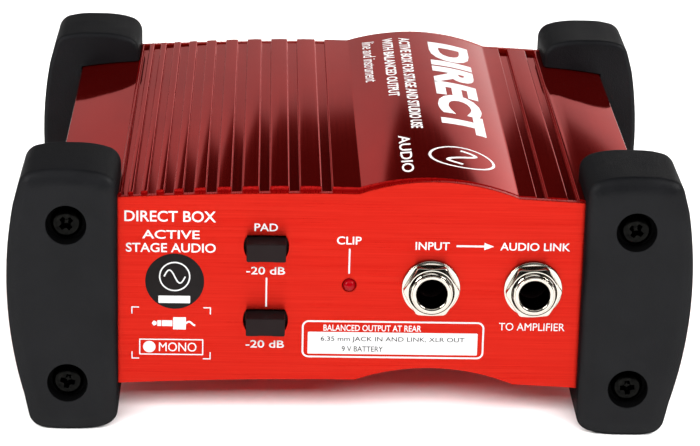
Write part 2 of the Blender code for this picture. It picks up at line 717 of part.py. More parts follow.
def make_jack(name, x):
    place = (x, -PANEL_FACE, JACK_Z)
    body_start = PANEL_THICKNESS + GAP
    flange_end = body_start + JACK_FLANGE_THICKNESS
    bushing = [(-JACK_PROUD, JACK_BORE), (-JACK_PROUD, JACK_THREAD - 0.3 * MM)]
    bushing += [(0.3 * MM - JACK_PROUD, JACK_THREAD), (body_start, JACK_THREAD), (body_start, JACK_FLANGE)]
    bushing += [(flange_end, JACK_FLANGE), (flange_end, JACK_BORE)]
    smooth(add_object(name + "_bushing", turned(bushing, 24, closed=True), "nickel", place))

    inner, outer = JACK_THREAD + GAP, WASHER_RADIUS
    start, end = -GAP - WASHER_THICKNESS, -GAP
    washer = [(start, inner), (start, outer), (end, outer), (end, inner)]
    smooth(add_object(name + "_washer", turned(washer, 32, closed=True), "nickel", place))

    nut_end = start - GAP
    nut_start = nut_end - NUT_THICKNESS
    corner_radius = NUT_ACROSS_FLATS / math.sqrt(3)
    nut = extruded([circle((0, 0), corner_radius, 6), circle((0, 0), inner)], nut_start, nut_end)
    item = smooth(add_object(name + "_nut", nut, "nickel", place))
    blank = [(nut_start - MM, 0), (nut_start - MM, 0.5 * NUT_ACROSS_FLATS - MM)]
    blank += [(nut_start + NUT_CHAMFER, corner_radius + 0.2 * MM), (nut_end + MM, corner_radius + 0.2 * MM)]
    blank.append((nut_end + MM, 0))
    combine(item, turned(blank, 32), "INTERSECT")

    width, length, height = JACK_BODY
    body = block((-width / 2, body_start, -height / 2), (width / 2, body_start + length, height / 2))
    item = add_object(name + "_body", body, "black_plastic", place)
    bevel(item, 0.5 * MM, 1)
    bore = [(body_start - MM, 0), (body_start - MM, JACK_FLANGE + GAP), (flange_end + GAP, JACK_FLANGE + GAP)]
    bore_end = body_start + JACK_BORE_LENGTH
    bore += [(flange_end + GAP, JACK_BORE), (bore_end, JACK_BORE), (bore_end, 0)]
    combine(item, turned(bore, 24))
    make_contact(name, item, bore_end)


def make_contact(name, body, bore_end):
    """The tip contact: a bent strip at the end of the bore, whose tail goes down to the board."""
    slot_start, slot_end = bore_end - 4.2 * MM, bore_end - 1.2 * MM
    half = 1.1 * MM
    bottom = BOARD_TOP + GAP - JACK_Z
    combine(body, block((-half - GAP, slot_start - GAP, bottom - MM), (half + GAP, slot_end + GAP, 0)))
    thickness = 0.4 * MM
    tip = (slot_start + slot_end) / 2
    line = [(slot_end, bottom), (slot_end, -3.2 * MM), (tip, -1.9 * MM), (slot_start + 0.4 * MM, -3.0 * MM)]
    inner = [(slot_start + 0.8 * MM, -3.0 * MM - thickness), (tip, -1.9 * MM - thickness)]
    inner += [(slot_end - thickness, -3.2 * MM - thickness), (slot_end - thickness, bottom)]
    bm = bmesh.new()
    sides = [[bm.verts.new((x, y, z)) for y, z in line + inner] for x in (-half, half)]
    connect(bm, *sides)
    bm.faces.new(sides[0])
    bm.faces.new(sides[1])
    add_object(name + "_contact", finished(bm), "contact_metal", body.location)


# The XLR socket: local -Y points out of the rear panel and y = 0 is its face


def cone(face, gap):
    """Profile of a countersink in a face at y = face, with a gap round the screw's head."""
    shaft_y = face + XLR_SCREW_SUNK + XLR_SCREW_HEAD_HEIGHT
    mouth = XLR_SCREW_HEAD + gap
    return [(face - MM, 0), (face - MM, mouth), (face + XLR_SCREW_SUNK, mouth),
            (shaft_y, XLR_SCREW_SHAFT + gap), (shaft_y, 0)]


def make_xlr():
    place = (XLR[0], PANEL_FACE, XLR[1])
    width, height = XLR_FLANGE
    outline = rounded_rectangle(width, height, XLR_FLANGE_CORNER)
    holes = [circle((-x, z), XLR_SCREW_HOLE, 12) for x, z in XLR_SCREWS.values()]
    front = -GAP - XLR_FLANGE_THICKNESS
    flange = extruded([outline, circle((0, 0), XLR_CAVITY, 32), *holes], front, -GAP)
    item = smooth(add_object("xlr_shell", flange, "nickel", place, True))
    overlap = 0.5 * MM
    barrel = [(-GAP - overlap, XLR_CAVITY), (-GAP - overlap, XLR_BARREL)]
    barrel += [(XLR_BARREL_LENGTH, XLR_BARREL), (XLR_BARREL_LENGTH, XLR_CAVITY)]
    combine(item, turned(barrel, 32, closed=True), "UNION")
    for x, z in XLR_SCREWS.values():
        sink = turned(cone(front, GAP), 12)
        bmesh.ops.translate(sink, verts=sink.verts, vec=(-x, 0, z))
        combine(item, sink)

    start, end = XLR_INSERT
    places = {}
    for name, degrees in XLR_PIN_ANGLES.items():
        angle = math.radians(degrees)
        places[name] = (XLR_PIN_CIRCLE * math.cos(angle), XLR_PIN_CIRCLE * math.sin(angle))
    holes = [circle(centre, XLR_PIN_RADIUS + GAP, 12) for centre in places.values()]
    insert = extruded([circle((0, 0), XLR_CAVITY - GAP, 32), *holes], start, end)
    smooth(add_object("xlr_insert", insert, "black_plastic", place, True))

    start, end = XLR_PIN_SPAN
    pin = [(start, 0), (start, 0.5 * XLR_PIN_RADIUS), (start + 0.7 * MM, XLR_PIN_RADIUS)]
    pin += [(end, XLR_PIN_RADIUS), (end, 0)]
    for name, (x, z) in places.items():
        spot = (XLR[0] - x, PANEL_FACE, XLR[1] + z)
        smooth(add_object(f"xlr_pin_{name}", turned(pin, 12), "contact_metal", spot, True))

    head = [(-XLR_SCREW_HEAD_HEIGHT, XLR_SCREW_HEAD), (0, XLR_SCREW_SHAFT)]
    seat = PANEL_FACE - front - XLR_SCREW_SUNK - XLR_SCREW_HEAD_HEIGHT
    for name, (x, z) in XLR_SCREWS.items():
        bm = screw(head, XLR_SCREW_SHAFT, XLR_SCREW_LENGTH)
        smooth(add_object(f"xlr_screw_{name}", bm, "black_steel", (XLR[0] + x, seat, XLR[1] + z), True))


# Inside the case


def make_boards():
    edge = MAIN_BOARD_HALF_WIDTH
    front, rear = SWITCH_BOARD_Y + BOARD_THICKNESS + MM, 57.0 * MM
    jack_side = JACKS["input"] - 9 * MM
    jack_end = JACKS["link"] + 10 * MM
    notch_left, notch_right = XLR[0] - 13 * MM, XLR[0] + 13 * MM
    notch = PANEL_FACE - XLR_BARREL_LENGTH - MM
    outline = [(-edge, front), (jack_side, front), (jack_side, -57 * MM), (jack_end, -57 * MM)]
    outline += [(jack_end, front), (edge, front), (edge, rear), (notch_right, rear)]
    outline += [(notch_right, notch), (notch_left, notch), (notch_left, rear), (-edge, rear)]
    add_object("main_board", extruded([outline], BOARD_BOTTOM, BOARD_TOP, "Z"), "board_green")
    (left, right), (low, high) = SWITCH_BOARD
    board = extruded([rectangle((left, low), (right, high))], SWITCH_BOARD_Y, SWITCH_BOARD_Y + BOARD_THICKNESS)
    add_object("switch_board", board, "board_green")


def make_battery():
    """A 9 V block in a tray that is open at its terminal end, with its snap connector and leads."""
    x, y, z = BATTERY_CORNER
    width, length, height = BATTERY_SIZE
    item = add_object("battery", block((x, y, z), (x + width, y + length, z + height)), "battery_wrap")
    bevel(item, 1.5 * MM)
    middle = z + height / 2
    for terminal in (x + width / 2 - 6.35 * MM, x + width / 2 + 6.35 * MM):
        bm = turned([(0, 0), (0, 3 * MM), (2.9 * MM, 3 * MM), (2.9 * MM, 0)], 12)
        bmesh.ops.translate(bm, verts=bm.verts, vec=(terminal, y + length - 0.4 * MM, middle))
        combine(item, bm, "UNION")

    low = (x - GAP - TRAY_WALL, y - GAP - TRAY_WALL, BOARD_TOP + GAP)
    high = (x + width + GAP + TRAY_WALL, y + length, BOARD_TOP + GAP + TRAY_HEIGHT)
    item = add_object("battery_tray", block(low, high), "black_plastic")
    combine(item, block((x - GAP, y - GAP, z - GAP), (x + width + GAP, y + length + MM, z + height)))

    snap_start = y + length + 2.5 * MM + GAP
    low = (x + 1 * MM, snap_start, middle - 6 * MM)
    high = (x + width - 1 * MM, snap_start + 3 * MM, middle + 6 * MM)
    item = add_object("battery_snap", block(low, high), "black_plastic")
    bevel(item, 0.8 * MM, 1)
    make_leads(x + width / 2, snap_start + 3 * MM, middle)


def make_leads(x, y, z):
    """Two insulated leads that curve from the snap connector down to the board."""
    for name, offset, material in (("red", 3 * MM, "red_insulation"), ("black", -3 * MM, "black_insulation")):
        start = Vector((x + offset, y + GAP, z))
        end = Vector((x + offset + 14 * MM, y + 16 * MM, BOARD_TOP + 0.5 * MM))
        away = start + Vector((0, 11 * MM, 0))
        above = end + Vector((0, 0, 10 * MM))
        line = bpy.data.curves.new(f"battery_lead_{name}", "CURVE")
        line.dimensions = "3D"
        line.bevel_depth = 0.65 * MM
        line.bevel_resolution = 1
        line.use_fill_caps = True
        line.materials.append(surface(material))
        spline = line.splines.new("POLY")
        stations = spaced(0, 1, 12)
        spline.points.add(len(stations) - 1)
        for point, t in zip(spline.points, stations):
            spot = start * (1 - t) ** 3 + away * 3 * t * (1 - t) ** 2 + above * 3 * t * t * (1 - t) + end * t**3
            point.co = (*spot, 1)
        bpy.context.scene.collection.objects.link(bpy.data.objects.new(line.name, line))


def make_transformer():
    """A laminated core with two windows, and the winding round its middle leg."""
    x, y, z = CORE_CENTRE
    width, thickness, height = CORE_SIZE
    window_width, window_height = CORE_WINDOW
    outline = rectangle((x - width / 2, z - height / 2), (x + width / 2, z + height / 2))
    windows = []
    for side in (-1, 1):
        near, far = x + side * CORE_LEG, x + side * (CORE_LEG + window_width)
        low, high = z - window_height / 2, z + window_height / 2
        windows.append(rectangle((min(near, far), low), (max(near, far), high)))
    core = extruded([outline, *windows], y - thickness / 2, y + thickness / 2)
    add_object("transformer_core", core, "core_steel")
    inner, reach = CORE_LEG + GAP, CORE_LEG + window_width - GAP
    depth, build = thickness / 2 + GAP, window_width - 2 * GAP
    outer_loop = rectangle((x - reach, y - depth - build), (x + reach, y + depth + build))
    inner_loop = rectangle((x - inner, y - depth), (x + inner, y + depth))
    top = z + window_height / 2 - GAP
    winding = extruded([outer_loop, inner_loop], z - window_height / 2 + GAP, top, "Z")
    add_object("transformer_winding", winding, "winding_tape")


def make_small_parts():
    """The largest of the parts soldered to the main board."""
    bm = turned([(0, 0), (0, 5 * MM), (12.5 * MM, 5 * MM), (12.5 * MM, 0)], 16)
    item = smooth(add_object("supply_capacitor", bm, "capacitor_sleeve", (46 * MM, 10 * MM, BOARD_TOP + GAP)))
    item.rotation_euler.x = math.pi / 2
    low = (-6.4 * MM, -24 * MM, BOARD_TOP + GAP)
    high = (0.0 * MM, -14.3 * MM, BOARD_TOP + 4.2 * MM)
    item = add_object("op_amp", block(low, high), "black_plastic")
    bevel(item, 0.3 * MM, 1)


def clear_scene():
    for item in list(bpy.data.objects):
        bpy.data.objects.remove(item, do_unlink=True)


def main():
    clear_scene()
    make_case()
    make_panels()
    make_bumpers()
    make_bumper_screws()
    make_buttons()
    make_led("clip_led", "red_lens", CLIP_LED, rear=False)
    make_led("power_led", "green_lens", POWER_LED, rear=True)
    for name, x in JACKS.items():
        make_jack(name + "_jack", x)
    make_xlr()
    make_boards()
    make_battery()
    make_transformer()
    make_small_parts()


main()
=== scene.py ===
"""Looks of the direct injection box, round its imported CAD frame: meshes, materials, print, light, camera.

Metres, +Z up, the front panel faces -Y. Outlines across the box are lists of (x, z) points, and turned
pieces are made about their own Y axis.
"""

import json
import math

import bmesh
import bpy
from mathutils import Matrix, Vector


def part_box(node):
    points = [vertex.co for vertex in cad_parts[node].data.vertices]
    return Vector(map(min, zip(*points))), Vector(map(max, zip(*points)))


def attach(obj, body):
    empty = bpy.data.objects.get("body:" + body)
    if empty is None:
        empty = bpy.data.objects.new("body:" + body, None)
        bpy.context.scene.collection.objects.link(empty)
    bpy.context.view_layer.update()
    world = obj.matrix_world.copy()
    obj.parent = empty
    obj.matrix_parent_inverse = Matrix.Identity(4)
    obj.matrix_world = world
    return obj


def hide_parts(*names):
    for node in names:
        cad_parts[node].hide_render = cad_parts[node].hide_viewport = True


MM = 0.001

# The crowned top line of the case and the panels, with its dome, as in the CAD part
PANEL_FACE = 60.0 * MM
PANEL_THICKNESS = 1.5 * MM
PANEL_HEIGHT = 43.2 * MM
PANEL_HALF_WIDTH = 64.0 * MM
CASE_HALF_WIDTH = 64.4 * MM
CASE_END = 58.2 * MM
CROWN_TOP = 54.3 * MM
CROWN_RADIUS = 893.0 * MM
SHOULDER = 50.2 * MM
SHOULDER_BEND = 4.0
DOME_LEFT = 1.6 * MM
DOME_RIGHT = 36.3 * MM
DOME_RISE = 3.1 * MM

# Ribs left of the dome, then the two grooves and the land right of it
GROOVE_DEPTH = 1.1 * MM
RIB_CROWN_TOP = 55.25 * MM
RIB_CROWN_X = -8.0 * MM
RIB_CROWN_RADIUS = 435.0 * MM
RIB_START = -50.2 * MM
FIRST_RIB_PITCH = 1.9 * MM
SECOND_RIB_PITCH = 2.8 * MM
RIB_PITCH_STEP = 0.525 * MM
RIB_COUNT = 10
WIDEST_GROOVE = 2.4 * MM
RIGHT_GROOVES = ((40.0 * MM, 42.3 * MM), (46.8 * MM, 49.2 * MM))
RIGHT_LAND_END = 49.8 * MM
RIGHT_LAND_STEP = 0.1 * MM
RIGHT_LAND_SLOPE = 0.7 * MM
GROOVE_ROUND = 0.2 * MM
LAND_RISE = 0.045 * MM
CASE_EDGE = 0.16 * MM
CASE_WALL = 2.0 * MM
CASE_ROOF = 2.6 * MM

# Every groove lies above this height and within this |x|
GROOVES_ABOVE = 45.0 * MM
GROOVES_WITHIN = 51.0 * MM

# Bumpers, as an outline of |x| and z
BUMPER_INNER = 50.4 * MM
BUMPER_OUTER = 74.3 * MM
BUMPER_HEIGHT = 60.0 * MM
BUMPER_FRONT = 65.0 * MM
BUMPER_DEPTH = 21.8 * MM
BUMPER_CREST = 61.5 * MM
BUMPER_CREST_RADIUS = 26.0 * MM
BUMPER_FLAT = 1.6 * MM
BUMPER_SIDE_RADIUS = 98.0 * MM
BUMPER_SIDE_Z = 34.0 * MM
BUMPER_CORNER = 3.8 * MM
BUMPER_LOW_CORNER = 69.3 * MM
BUMPER_HIGH_CORNER = 70.7 * MM
BUMPER_FACE_ROUND = 2.4 * MM
BUMPER_FACE_SPREAD = 1.55
BUMPER_LIP_ROUND = 1.2 * MM
POCKET_GAP = 0.3 * MM
SCREW_X = 61.2 * MM
SCREW_HEIGHTS = {"lower": 11.6 * MM, "upper": 48.0 * MM}
RECESS_RADIUS = 4.35 * MM
RECESS_DEPTH = 3.4 * MM
RECESS_ROUND = 0.2 * MM

# Holes in the panels, and the flange of a diode behind its hole
SCREW_HOLE = 2.0 * MM
BUTTON_HOLE_RADIUS = 4.8 * MM
BUTTON_HOLE_HALF_HEIGHT = 2.5 * MM
JACK_HOLE = 4.8 * MM
LED_HOLE = 1.5 * MM
LED_FLANGE = 1.9 * MM
XLR_HOLE = 11.9 * MM
PANEL_EDGE = 0.16 * MM

FRONT_BUTTONS = ("pad_lower", "pad_upper")
REAR_BUTTONS = ("ground_lift", "cabinet", "power")
JACKS = ("input", "link")
LINK_NUT_TURN = 3.0
NUT_CORNER = 6.08 * MM

# Profiles in millimetres: a pan head, with shares of its radius, a washer, and the seat of an XLR screw
PAN_HEAD = (
    (-2.0, 0.53), (-1.96, 0.64), (-1.86, 0.76), (-1.66, 0.87), (-1.3, 0.95), (-0.8, 0.99), (-0.25, 1.0),
    (0, 0.985),
)
WASHER = ((-0.3, 4.8), (-0.8, 4.8), (-0.8, 6.23), (-0.76, 6.31), (-0.68, 6.35), (-0.3, 6.35))
COUNTERSINK = ((-3, 0), (-3, 3), (-1.85, 3), (-0.55, 1.7), (1, 1.7), (1, 0))

# Thickness of the printed ink
INK = 0.02 * MM

# Camera: where it looks, how far away it stands and how it is turned, in metres and radians
CAMERA_TARGET = Vector((1.573 * MM, 0.0, 26.46 * MM))
CAMERA_DISTANCE = 683.7 * MM
CAMERA_YAW = 0.032
CAMERA_PITCH = 0.339
CAMERA_ROLL = 0.024
CAMERA_LENS = 147.8

# Radiance of the sweep, the dark room's share of it, what is added low on the right, and how dark the front is
PALE_RADIANCE = 1.05
DARK_RADIANCE = 0.012
LOW_RADIANCE = 2.0
FRONT_DARKNESS = 0.95

# Upper edge of the sweep, as the sine of its elevation, with its slopes to the right and left and its blur
SWEEP_EDGE = 0.2964
SWEEP_FALL = 0.8
SWEEP_RISE = 0.15
SWEEP_BLUR = 0.0028

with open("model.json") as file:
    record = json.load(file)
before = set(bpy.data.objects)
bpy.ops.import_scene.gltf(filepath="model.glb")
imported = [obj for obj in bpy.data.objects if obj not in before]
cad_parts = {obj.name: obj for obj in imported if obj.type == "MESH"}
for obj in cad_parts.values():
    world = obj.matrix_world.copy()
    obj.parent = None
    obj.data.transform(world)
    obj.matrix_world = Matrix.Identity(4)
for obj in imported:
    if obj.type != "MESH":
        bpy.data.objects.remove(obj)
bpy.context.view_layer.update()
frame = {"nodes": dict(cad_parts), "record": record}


# Curves that the outlines share


def dome(x):
    """Height of the dome above its chord at x."""
    half = (DOME_RIGHT - DOME_LEFT) / 2
    radius = (half**2 + DOME_RISE**2) / (2 * DOME_RISE)
    offset = x - (DOME_LEFT + DOME_RIGHT) / 2
    if abs(offset) >= half:
        return 0.0
    return math.sqrt(radius**2 - offset**2) - (radius - DOME_RISE)


def crown(x):
    """Height of the crowned line at x, without its dome."""
    inner = min(abs(x), SHOULDER)
    outer = abs(x) - inner
    slope = SHOULDER / CROWN_RADIUS
    return CROWN_TOP - inner**2 / (2 * CROWN_RADIUS) - slope * outer - SHOULDER_BEND * outer**2


def rib_crown(x):
    """Height of the lands left of the dome."""
    return RIB_CROWN_TOP - (x - RIB_CROWN_X) ** 2 / (2 * RIB_CROWN_RADIUS)


def case_top(x):
    """Height of the case's lands and dome at x."""
    if x < RIB_START or x > RIGHT_LAND_END:
        return crown(x)
    if x <= DOME_LEFT:
        return rib_crown(x)
    if x >= DOME_RIGHT:
        return crown(x) + RIGHT_LAND_STEP
    share = (x - DOME_LEFT) / (DOME_RIGHT - DOME_LEFT)
    left = rib_crown(DOME_LEFT)
    right = crown(DOME_RIGHT) + RIGHT_LAND_STEP
    return left + share * (right - left) + dome(x)


def underside(x):
    """Height of the panels' and the case's lower edge."""
    return crown(x) + dome(x) - PANEL_HEIGHT


def mm(*values):
    """Millimetres as metres."""
    return tuple(value * MM for value in values)


def spaced(start, end, steps):
    """steps + 1 numbers from start to end."""
    return [start + (end - start) * i / steps for i in range(steps + 1)]


def arc(centre, radius, start, end, steps):
    """Points on an arc, with angles in degrees anticlockwise from the first axis."""
    angles = [math.radians(a) for a in spaced(start, end, steps)]
    return [(centre[0] + radius * math.cos(a), centre[1] + radius * math.sin(a)) for a in angles]


def circle(centre, radius, steps=64):
    """Points round a whole circle."""
    return arc(centre, radius, 0, 360, steps)[:-1]


def rounded_rectangle(centre, width, height, corner, steps=6):
    """Outline of a rectangle with round corners."""
    points = []
    for quarter, (side, rise) in enumerate(((1, 1), (-1, 1), (-1, -1), (1, -1))):
        middle = (centre[0] + side * (width / 2 - corner), centre[1] + rise * (height / 2 - corner))
        points += arc(middle, corner, 90 * quarter, 90 * quarter + 90, steps)
    return points


def rounded_corners(points, radii, steps=3):
    """An outline whose points numbered in radii give way to quadratic curves that start that far away."""
    soft = []
    for i, point in enumerate(points):
        corner = Vector(point)
        if i not in radii:
            soft.append(tuple(corner))
            continue
        before = (Vector(points[i - 1]) - corner).normalized() * radii[i]
        after = (Vector(points[(i + 1) % len(points)]) - corner).normalized() * radii[i]
        for t in spaced(0, 1, steps):
            soft.append(tuple(corner + before * (1 - t) ** 2 + after * t**2))
    return soft


def fillet(before, corner, after, radius, steps=8):
    """A circular arc of that radius that touches both lines at the corner."""
    corner = Vector(corner)
    one = (Vector(before) - corner).normalized()
    two = (Vector(after) - corner).normalized()
    half = one.angle(two) / 2
    centre = corner + (one + two).normalized() * radius / math.sin(half)
    start = corner + one * radius / math.tan(half) - centre
    end = corner + two * radius / math.tan(half) - centre
    sweep = start.angle(end)
    return [
        tuple(centre + (start * math.sin(sweep * (1 - t)) + end * math.sin(sweep * t)) / math.sin(sweep))
        for t in spaced(0, 1, steps)
    ]


def anticlockwise(loop):
    """The loop turned round if it runs clockwise."""
    area = sum(a[0] * b[1] - b[0] * a[1] for a, b in zip(loop, loop[1:] + loop[:1]))
    return loop if area > 0 else loop[::-1]


def inset(loop, distance):
    """An anticlockwise outline moved inwards, along the mean of its edges' normals."""
    moved = []
    for i, point in enumerate(loop):
        before = (Vector(point) - Vector(loop[i - 1])).normalized()
        after = (Vector(loop[(i + 1) % len(loop)]) - Vector(point)).normalized()
        along = (before + after).normalized()
        inwards = Vector((-along.y, along.x))
        reach = distance / max(0.5, along.dot(before))
        moved.append(tuple(Vector(point) + inwards * reach))
    return moved


# Mesh helpers


def connect(bm, one, two):
    """Faces between two rings of vertices, either of which may be a single point."""
    steps = max(len(one), len(two))
    for i in range(steps):
        j = (i + 1) % steps
        corners = [one[i % len(one)], one[j % len(one)], two[j % len(two)], two[i % len(two)]]
        bm.faces.new(list(dict.fromkeys(corners)))


def ring(bm, y, points):
    """A ring of vertices at y from (x, z) points."""
    return [bm.verts.new((x, y, z)) for x, z in points]


def skin(bm, rings, closed=False):
    """Faces from each ring to the next."""
    for one, two in zip(rings, rings[1:] + rings[:1] if closed else rings[1:]):
        connect(bm, one, two)


def finished(bm):
    """The bmesh with its faces pointing outwards."""
    bmesh.ops.recalc_face_normals(bm, faces=bm.faces)
    return bm


def fill(bm, rings):
    """A flat face with holes between rings of vertices."""
    edges = []
    for loop in rings:
        for one, two in zip(loop, loop[1:] + loop[:1]):
            edges.append(bm.edges.get((one, two)) or bm.edges.new((one, two)))
    bmesh.ops.triangle_fill(bm, use_beauty=True, use_dissolve=False, edges=edges)


def plate(outline, holes, start, end, edge, steps=3):
    """A solid between two planes across Y, with holes through it and rounded edges."""
    bm = bmesh.new()
    rounding = [(edge * (1 - math.sin(a)), edge * (1 - math.cos(a))) for a in spaced(0, math.pi / 2, steps)]
    sides = [(start + deep, back) for back, deep in rounding]
    sides += [(end - deep, back) for back, deep in reversed(rounding)]
    caps = ([], [])
    for loop, sign in [(outline, 1)] + [(hole, -1) for hole in holes]:
        points = anticlockwise(loop)
        rings = [ring(bm, y, inset(points, sign * back)) for y, back in sides]
        skin(bm, rings)
        caps[0].append(rings[0])
        caps[1].append(rings[-1])
    for rings in caps:
        fill(bm, rings)
    return finished(bm)


def turned(profile, segments=64, closed=False, radius_at=None):
    """A solid turned about Y from (y, radius) points. radius_at may change the radius round the turn."""
    bm = bmesh.new()
    rings = []
    for y, radius in profile:
        angles = spaced(0, 2 * math.pi, segments)[:-1] if radius else [0.0]
        reaches = [radius_at(y, radius, a) if radius_at and radius else radius for a in angles]
        rings.append(ring(bm, y, [(r * math.cos(a), r * math.sin(a)) for r, a in zip(reaches, angles)]))
    skin(bm, rings, closed)
    return finished(bm)


def as_mesh(bm, name):
    """The bmesh as a mesh of that name, after which the bmesh is gone."""
    mesh = bpy.data.meshes.new(name)
    bm.to_mesh(mesh)
    bm.free()
    return mesh


def add_object(name, data):
    """An object of the scene with that mesh, curve, lamp or camera."""
    item = bpy.data.objects.new(name, data)
    bpy.context.scene.collection.objects.link(item)
    return item


def join(bm, other):
    """Adds the second bmesh's faces to the first."""
    mesh = as_mesh(other, "joined")
    bm.from_mesh(mesh)
    bpy.data.meshes.remove(mesh)


def subtract(bm, cutter):
    """The first bmesh less the second, as a new bmesh."""
    items = [add_object(name, as_mesh(shape, name)) for name, shape in (("kept", bm), ("cut", cutter))]
    modifier = items[0].modifiers.new("cut", "BOOLEAN")
    modifier.solver = "EXACT"
    modifier.object = items[1]
    result = bmesh.new()
    result.from_object(items[0], bpy.context.evaluated_depsgraph_get())
    for item in items:
        mesh = item.data
        bpy.data.objects.remove(item, do_unlink=True)
        bpy.data.meshes.remove(mesh)
    return result


def add_piece(name, bm, material, node=None, location=(0, 0, 0), rear=False, body="case", sharp=40):
    """A visible piece that rides on a body, made as seen from the front and turned round for the rear.

    With a node, it stands for that CAD node, which it hides.
    """
    mesh = as_mesh(bm, name)
    mesh.materials.append(MATERIALS[material])
    mesh.shade_smooth()
    mesh.set_sharp_from_angle(angle=math.radians(sharp))
    item = add_object(name, mesh)
    item.location = location
    item.rotation_euler.z = math.pi if rear else 0
    weighted = item.modifiers.new("weighted_normals", "WEIGHTED_NORMAL")
    weighted.keep_sharp = True
    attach(item, body)
    if node:
        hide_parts(node)
    return item


def recolour(item, material, chosen):
    """Gives a second material to the faces for which chosen(face) holds."""
    item.data.materials.append(MATERIALS[material])
    for face in item.data.polygons:
        face.material_index = int(chosen(face))


def middle_of(node):
    """Centre of a CAD node's box."""
    low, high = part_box(node)
    return (low + high) / 2


SLOTS = {row["node"]: row["material_slot"] for row in frame["record"]["subparts"]}


# Materials


def new_material(name, **sockets):
    """A material whose Principled sockets have those values, with its node tree and shader."""
    made = bpy.data.materials.new(name)
    made.use_nodes = True
    shader = made.node_tree.nodes["Principled BSDF"]
    for socket, value in sockets.items():
        label = socket.replace("_", " ")
        shader.inputs[label].default_value = (*value, 1) if isinstance(value, tuple) else value
    return made, made.node_tree, shader


def node(tree, kind, **values):
    """A new node with those properties and input values."""
    made = tree.nodes.new(kind)
    for key, value in values.items():
        if hasattr(made, key):
            setattr(made, key, value)
        else:
            made.inputs[key.replace("_", " ")].default_value = value
    return made


def calc(tree, operation, *values):
    """A sum, product or the like of numbers and sockets."""
    made = node(tree, "ShaderNodeMath", operation=operation)
    for socket, value in zip(made.inputs, values):
        if isinstance(value, (int, float)):
            socket.default_value = value
        else:
            tree.links.new(value, socket)
    return made.outputs[0]


def grain(tree, scale, detail=3.0, roughness=0.6):
    """A noise pattern in the piece's own coordinates, in cycles per metre along each axis."""
    place = node(tree, "ShaderNodeTexCoord")
    stretch = node(tree, "ShaderNodeMapping")
    stretch.inputs["Scale"].default_value = scale
    pattern = node(tree, "ShaderNodeTexNoise", Scale=1.0, Detail=detail, Roughness=roughness)
    tree.links.new(place.outputs["Object"], stretch.inputs["Vector"])
    tree.links.new(stretch.outputs["Vector"], pattern.inputs["Vector"])
    return pattern.outputs["Fac"]


def ranged(tree, value, low=0.0, high=1.0, start=0.3, end=0.7, kind="LINEAR"):
    """A value mapped from start..end to low..high."""
    made = node(tree, "ShaderNodeMapRange", interpolation_type=kind)
    for socket, number in zip(("From Min", "From Max", "To Min", "To Max"), (start, end, low, high)):
        made.inputs[socket].default_value = number
    tree.links.new(value, made.inputs["Value"])
    return made.outputs["Result"]


def blended(tree, share, one, two):
    """A colour between two colours."""
    made = node(tree, "ShaderNodeMix", data_type="RGBA")
    made.inputs[6].default_value = (*one, 1)
    made.inputs[7].default_value = (*two, 1)
    tree.links.new(share, made.inputs[0])
    return made.outputs[2]


def paint(tree, shader, share, colours, pattern, roughness):
    """A colour between two by a share, and a roughness in a range by a pattern."""
    tree.links.new(blended(tree, share, *colours), shader.inputs["Base Color"])
    tree.links.new(ranged(tree, pattern, *roughness), shader.inputs["Roughness"])


def bumped(tree, shader, height, distance, strength=1.0):
    """Bump on the shader's normal from a height pattern."""
    made = node(tree, "ShaderNodeBump", Distance=distance, Strength=strength)
    tree.links.new(height, made.inputs["Height"])
    tree.links.new(made.outputs["Normal"], shader.inputs["Normal"])


def brushed_red():
    """Bright red anodising over a grain brushed along X, which spreads reflections up and down."""
    made, tree, shader = new_material(
        "brushed_red", Metallic=0.9, Anisotropic=0.75, Specular_Tint=(1.0, 0.5, 0.4)
    )
    fine = grain(tree, (40, 40, 3300), 4.0, 0.7)
    broad = grain(tree, (14, 14, 700), 2.0)
    both = calc(tree, "MULTIPLY_ADD", fine, 0.8, calc(tree, "MULTIPLY", broad, 0.2))
    share = ranged(tree, both, start=0.38, end=0.62)
    paint(tree, shader, share, ((0.34, 0.0076, 0.0040), (0.41, 0.0145, 0.0078)), fine, (0.26, 0.40))
    up = node(tree, "ShaderNodeCombineXYZ", Z=1.0)
    tree.links.new(up.outputs[0], shader.inputs["Tangent"])
    bumped(tree, shader, fine, 0.00001, 0.5)
    return made


def anodised_red():
    """Glossy deep red anodising on an extrusion, with faint drawing lines along Y."""
    made, tree, shader = new_material(
        "anodised_red", Metallic=0.95, Specular_Tint=(0.22, 0.42, 0.42),
        Coat_Weight=0.15, Coat_Roughness=0.04, Coat_IOR=1.5
    )
    lines = grain(tree, (2600, 4, 2600), 3.0, 0.65)
    clouds = grain(tree, (60, 25, 60), 3.0)
    colours = ((0.48, 0.006, 0.005), (0.56, 0.010, 0.007))
    paint(tree, shader, ranged(tree, clouds), colours, lines, (0.045, 0.065))
    bumped(tree, shader, lines, 0.000002, 0.1)
    return made


def edge_and_groove_shade_red():
    """Duller, darker red anodising on the panels' cut edges and the case's cut ends, also laid on the grooves'
    sides as painted shade in the grooves.
    """
    made, tree, shader = new_material("edge_and_groove_shade_red", Metallic=0.55, Specular_Tint=(0.8, 0.3, 0.25))
    marks = grain(tree, (1500, 60, 1500), 3.0)
    colours = ((0.21, 0.0015, 0.0015), (0.225, 0.002, 0.002))
    paint(tree, shader, ranged(tree, marks), colours, marks, (0.22, 0.36))
    bumped(tree, shader, marks, 0.000002, 0.2)
    return made


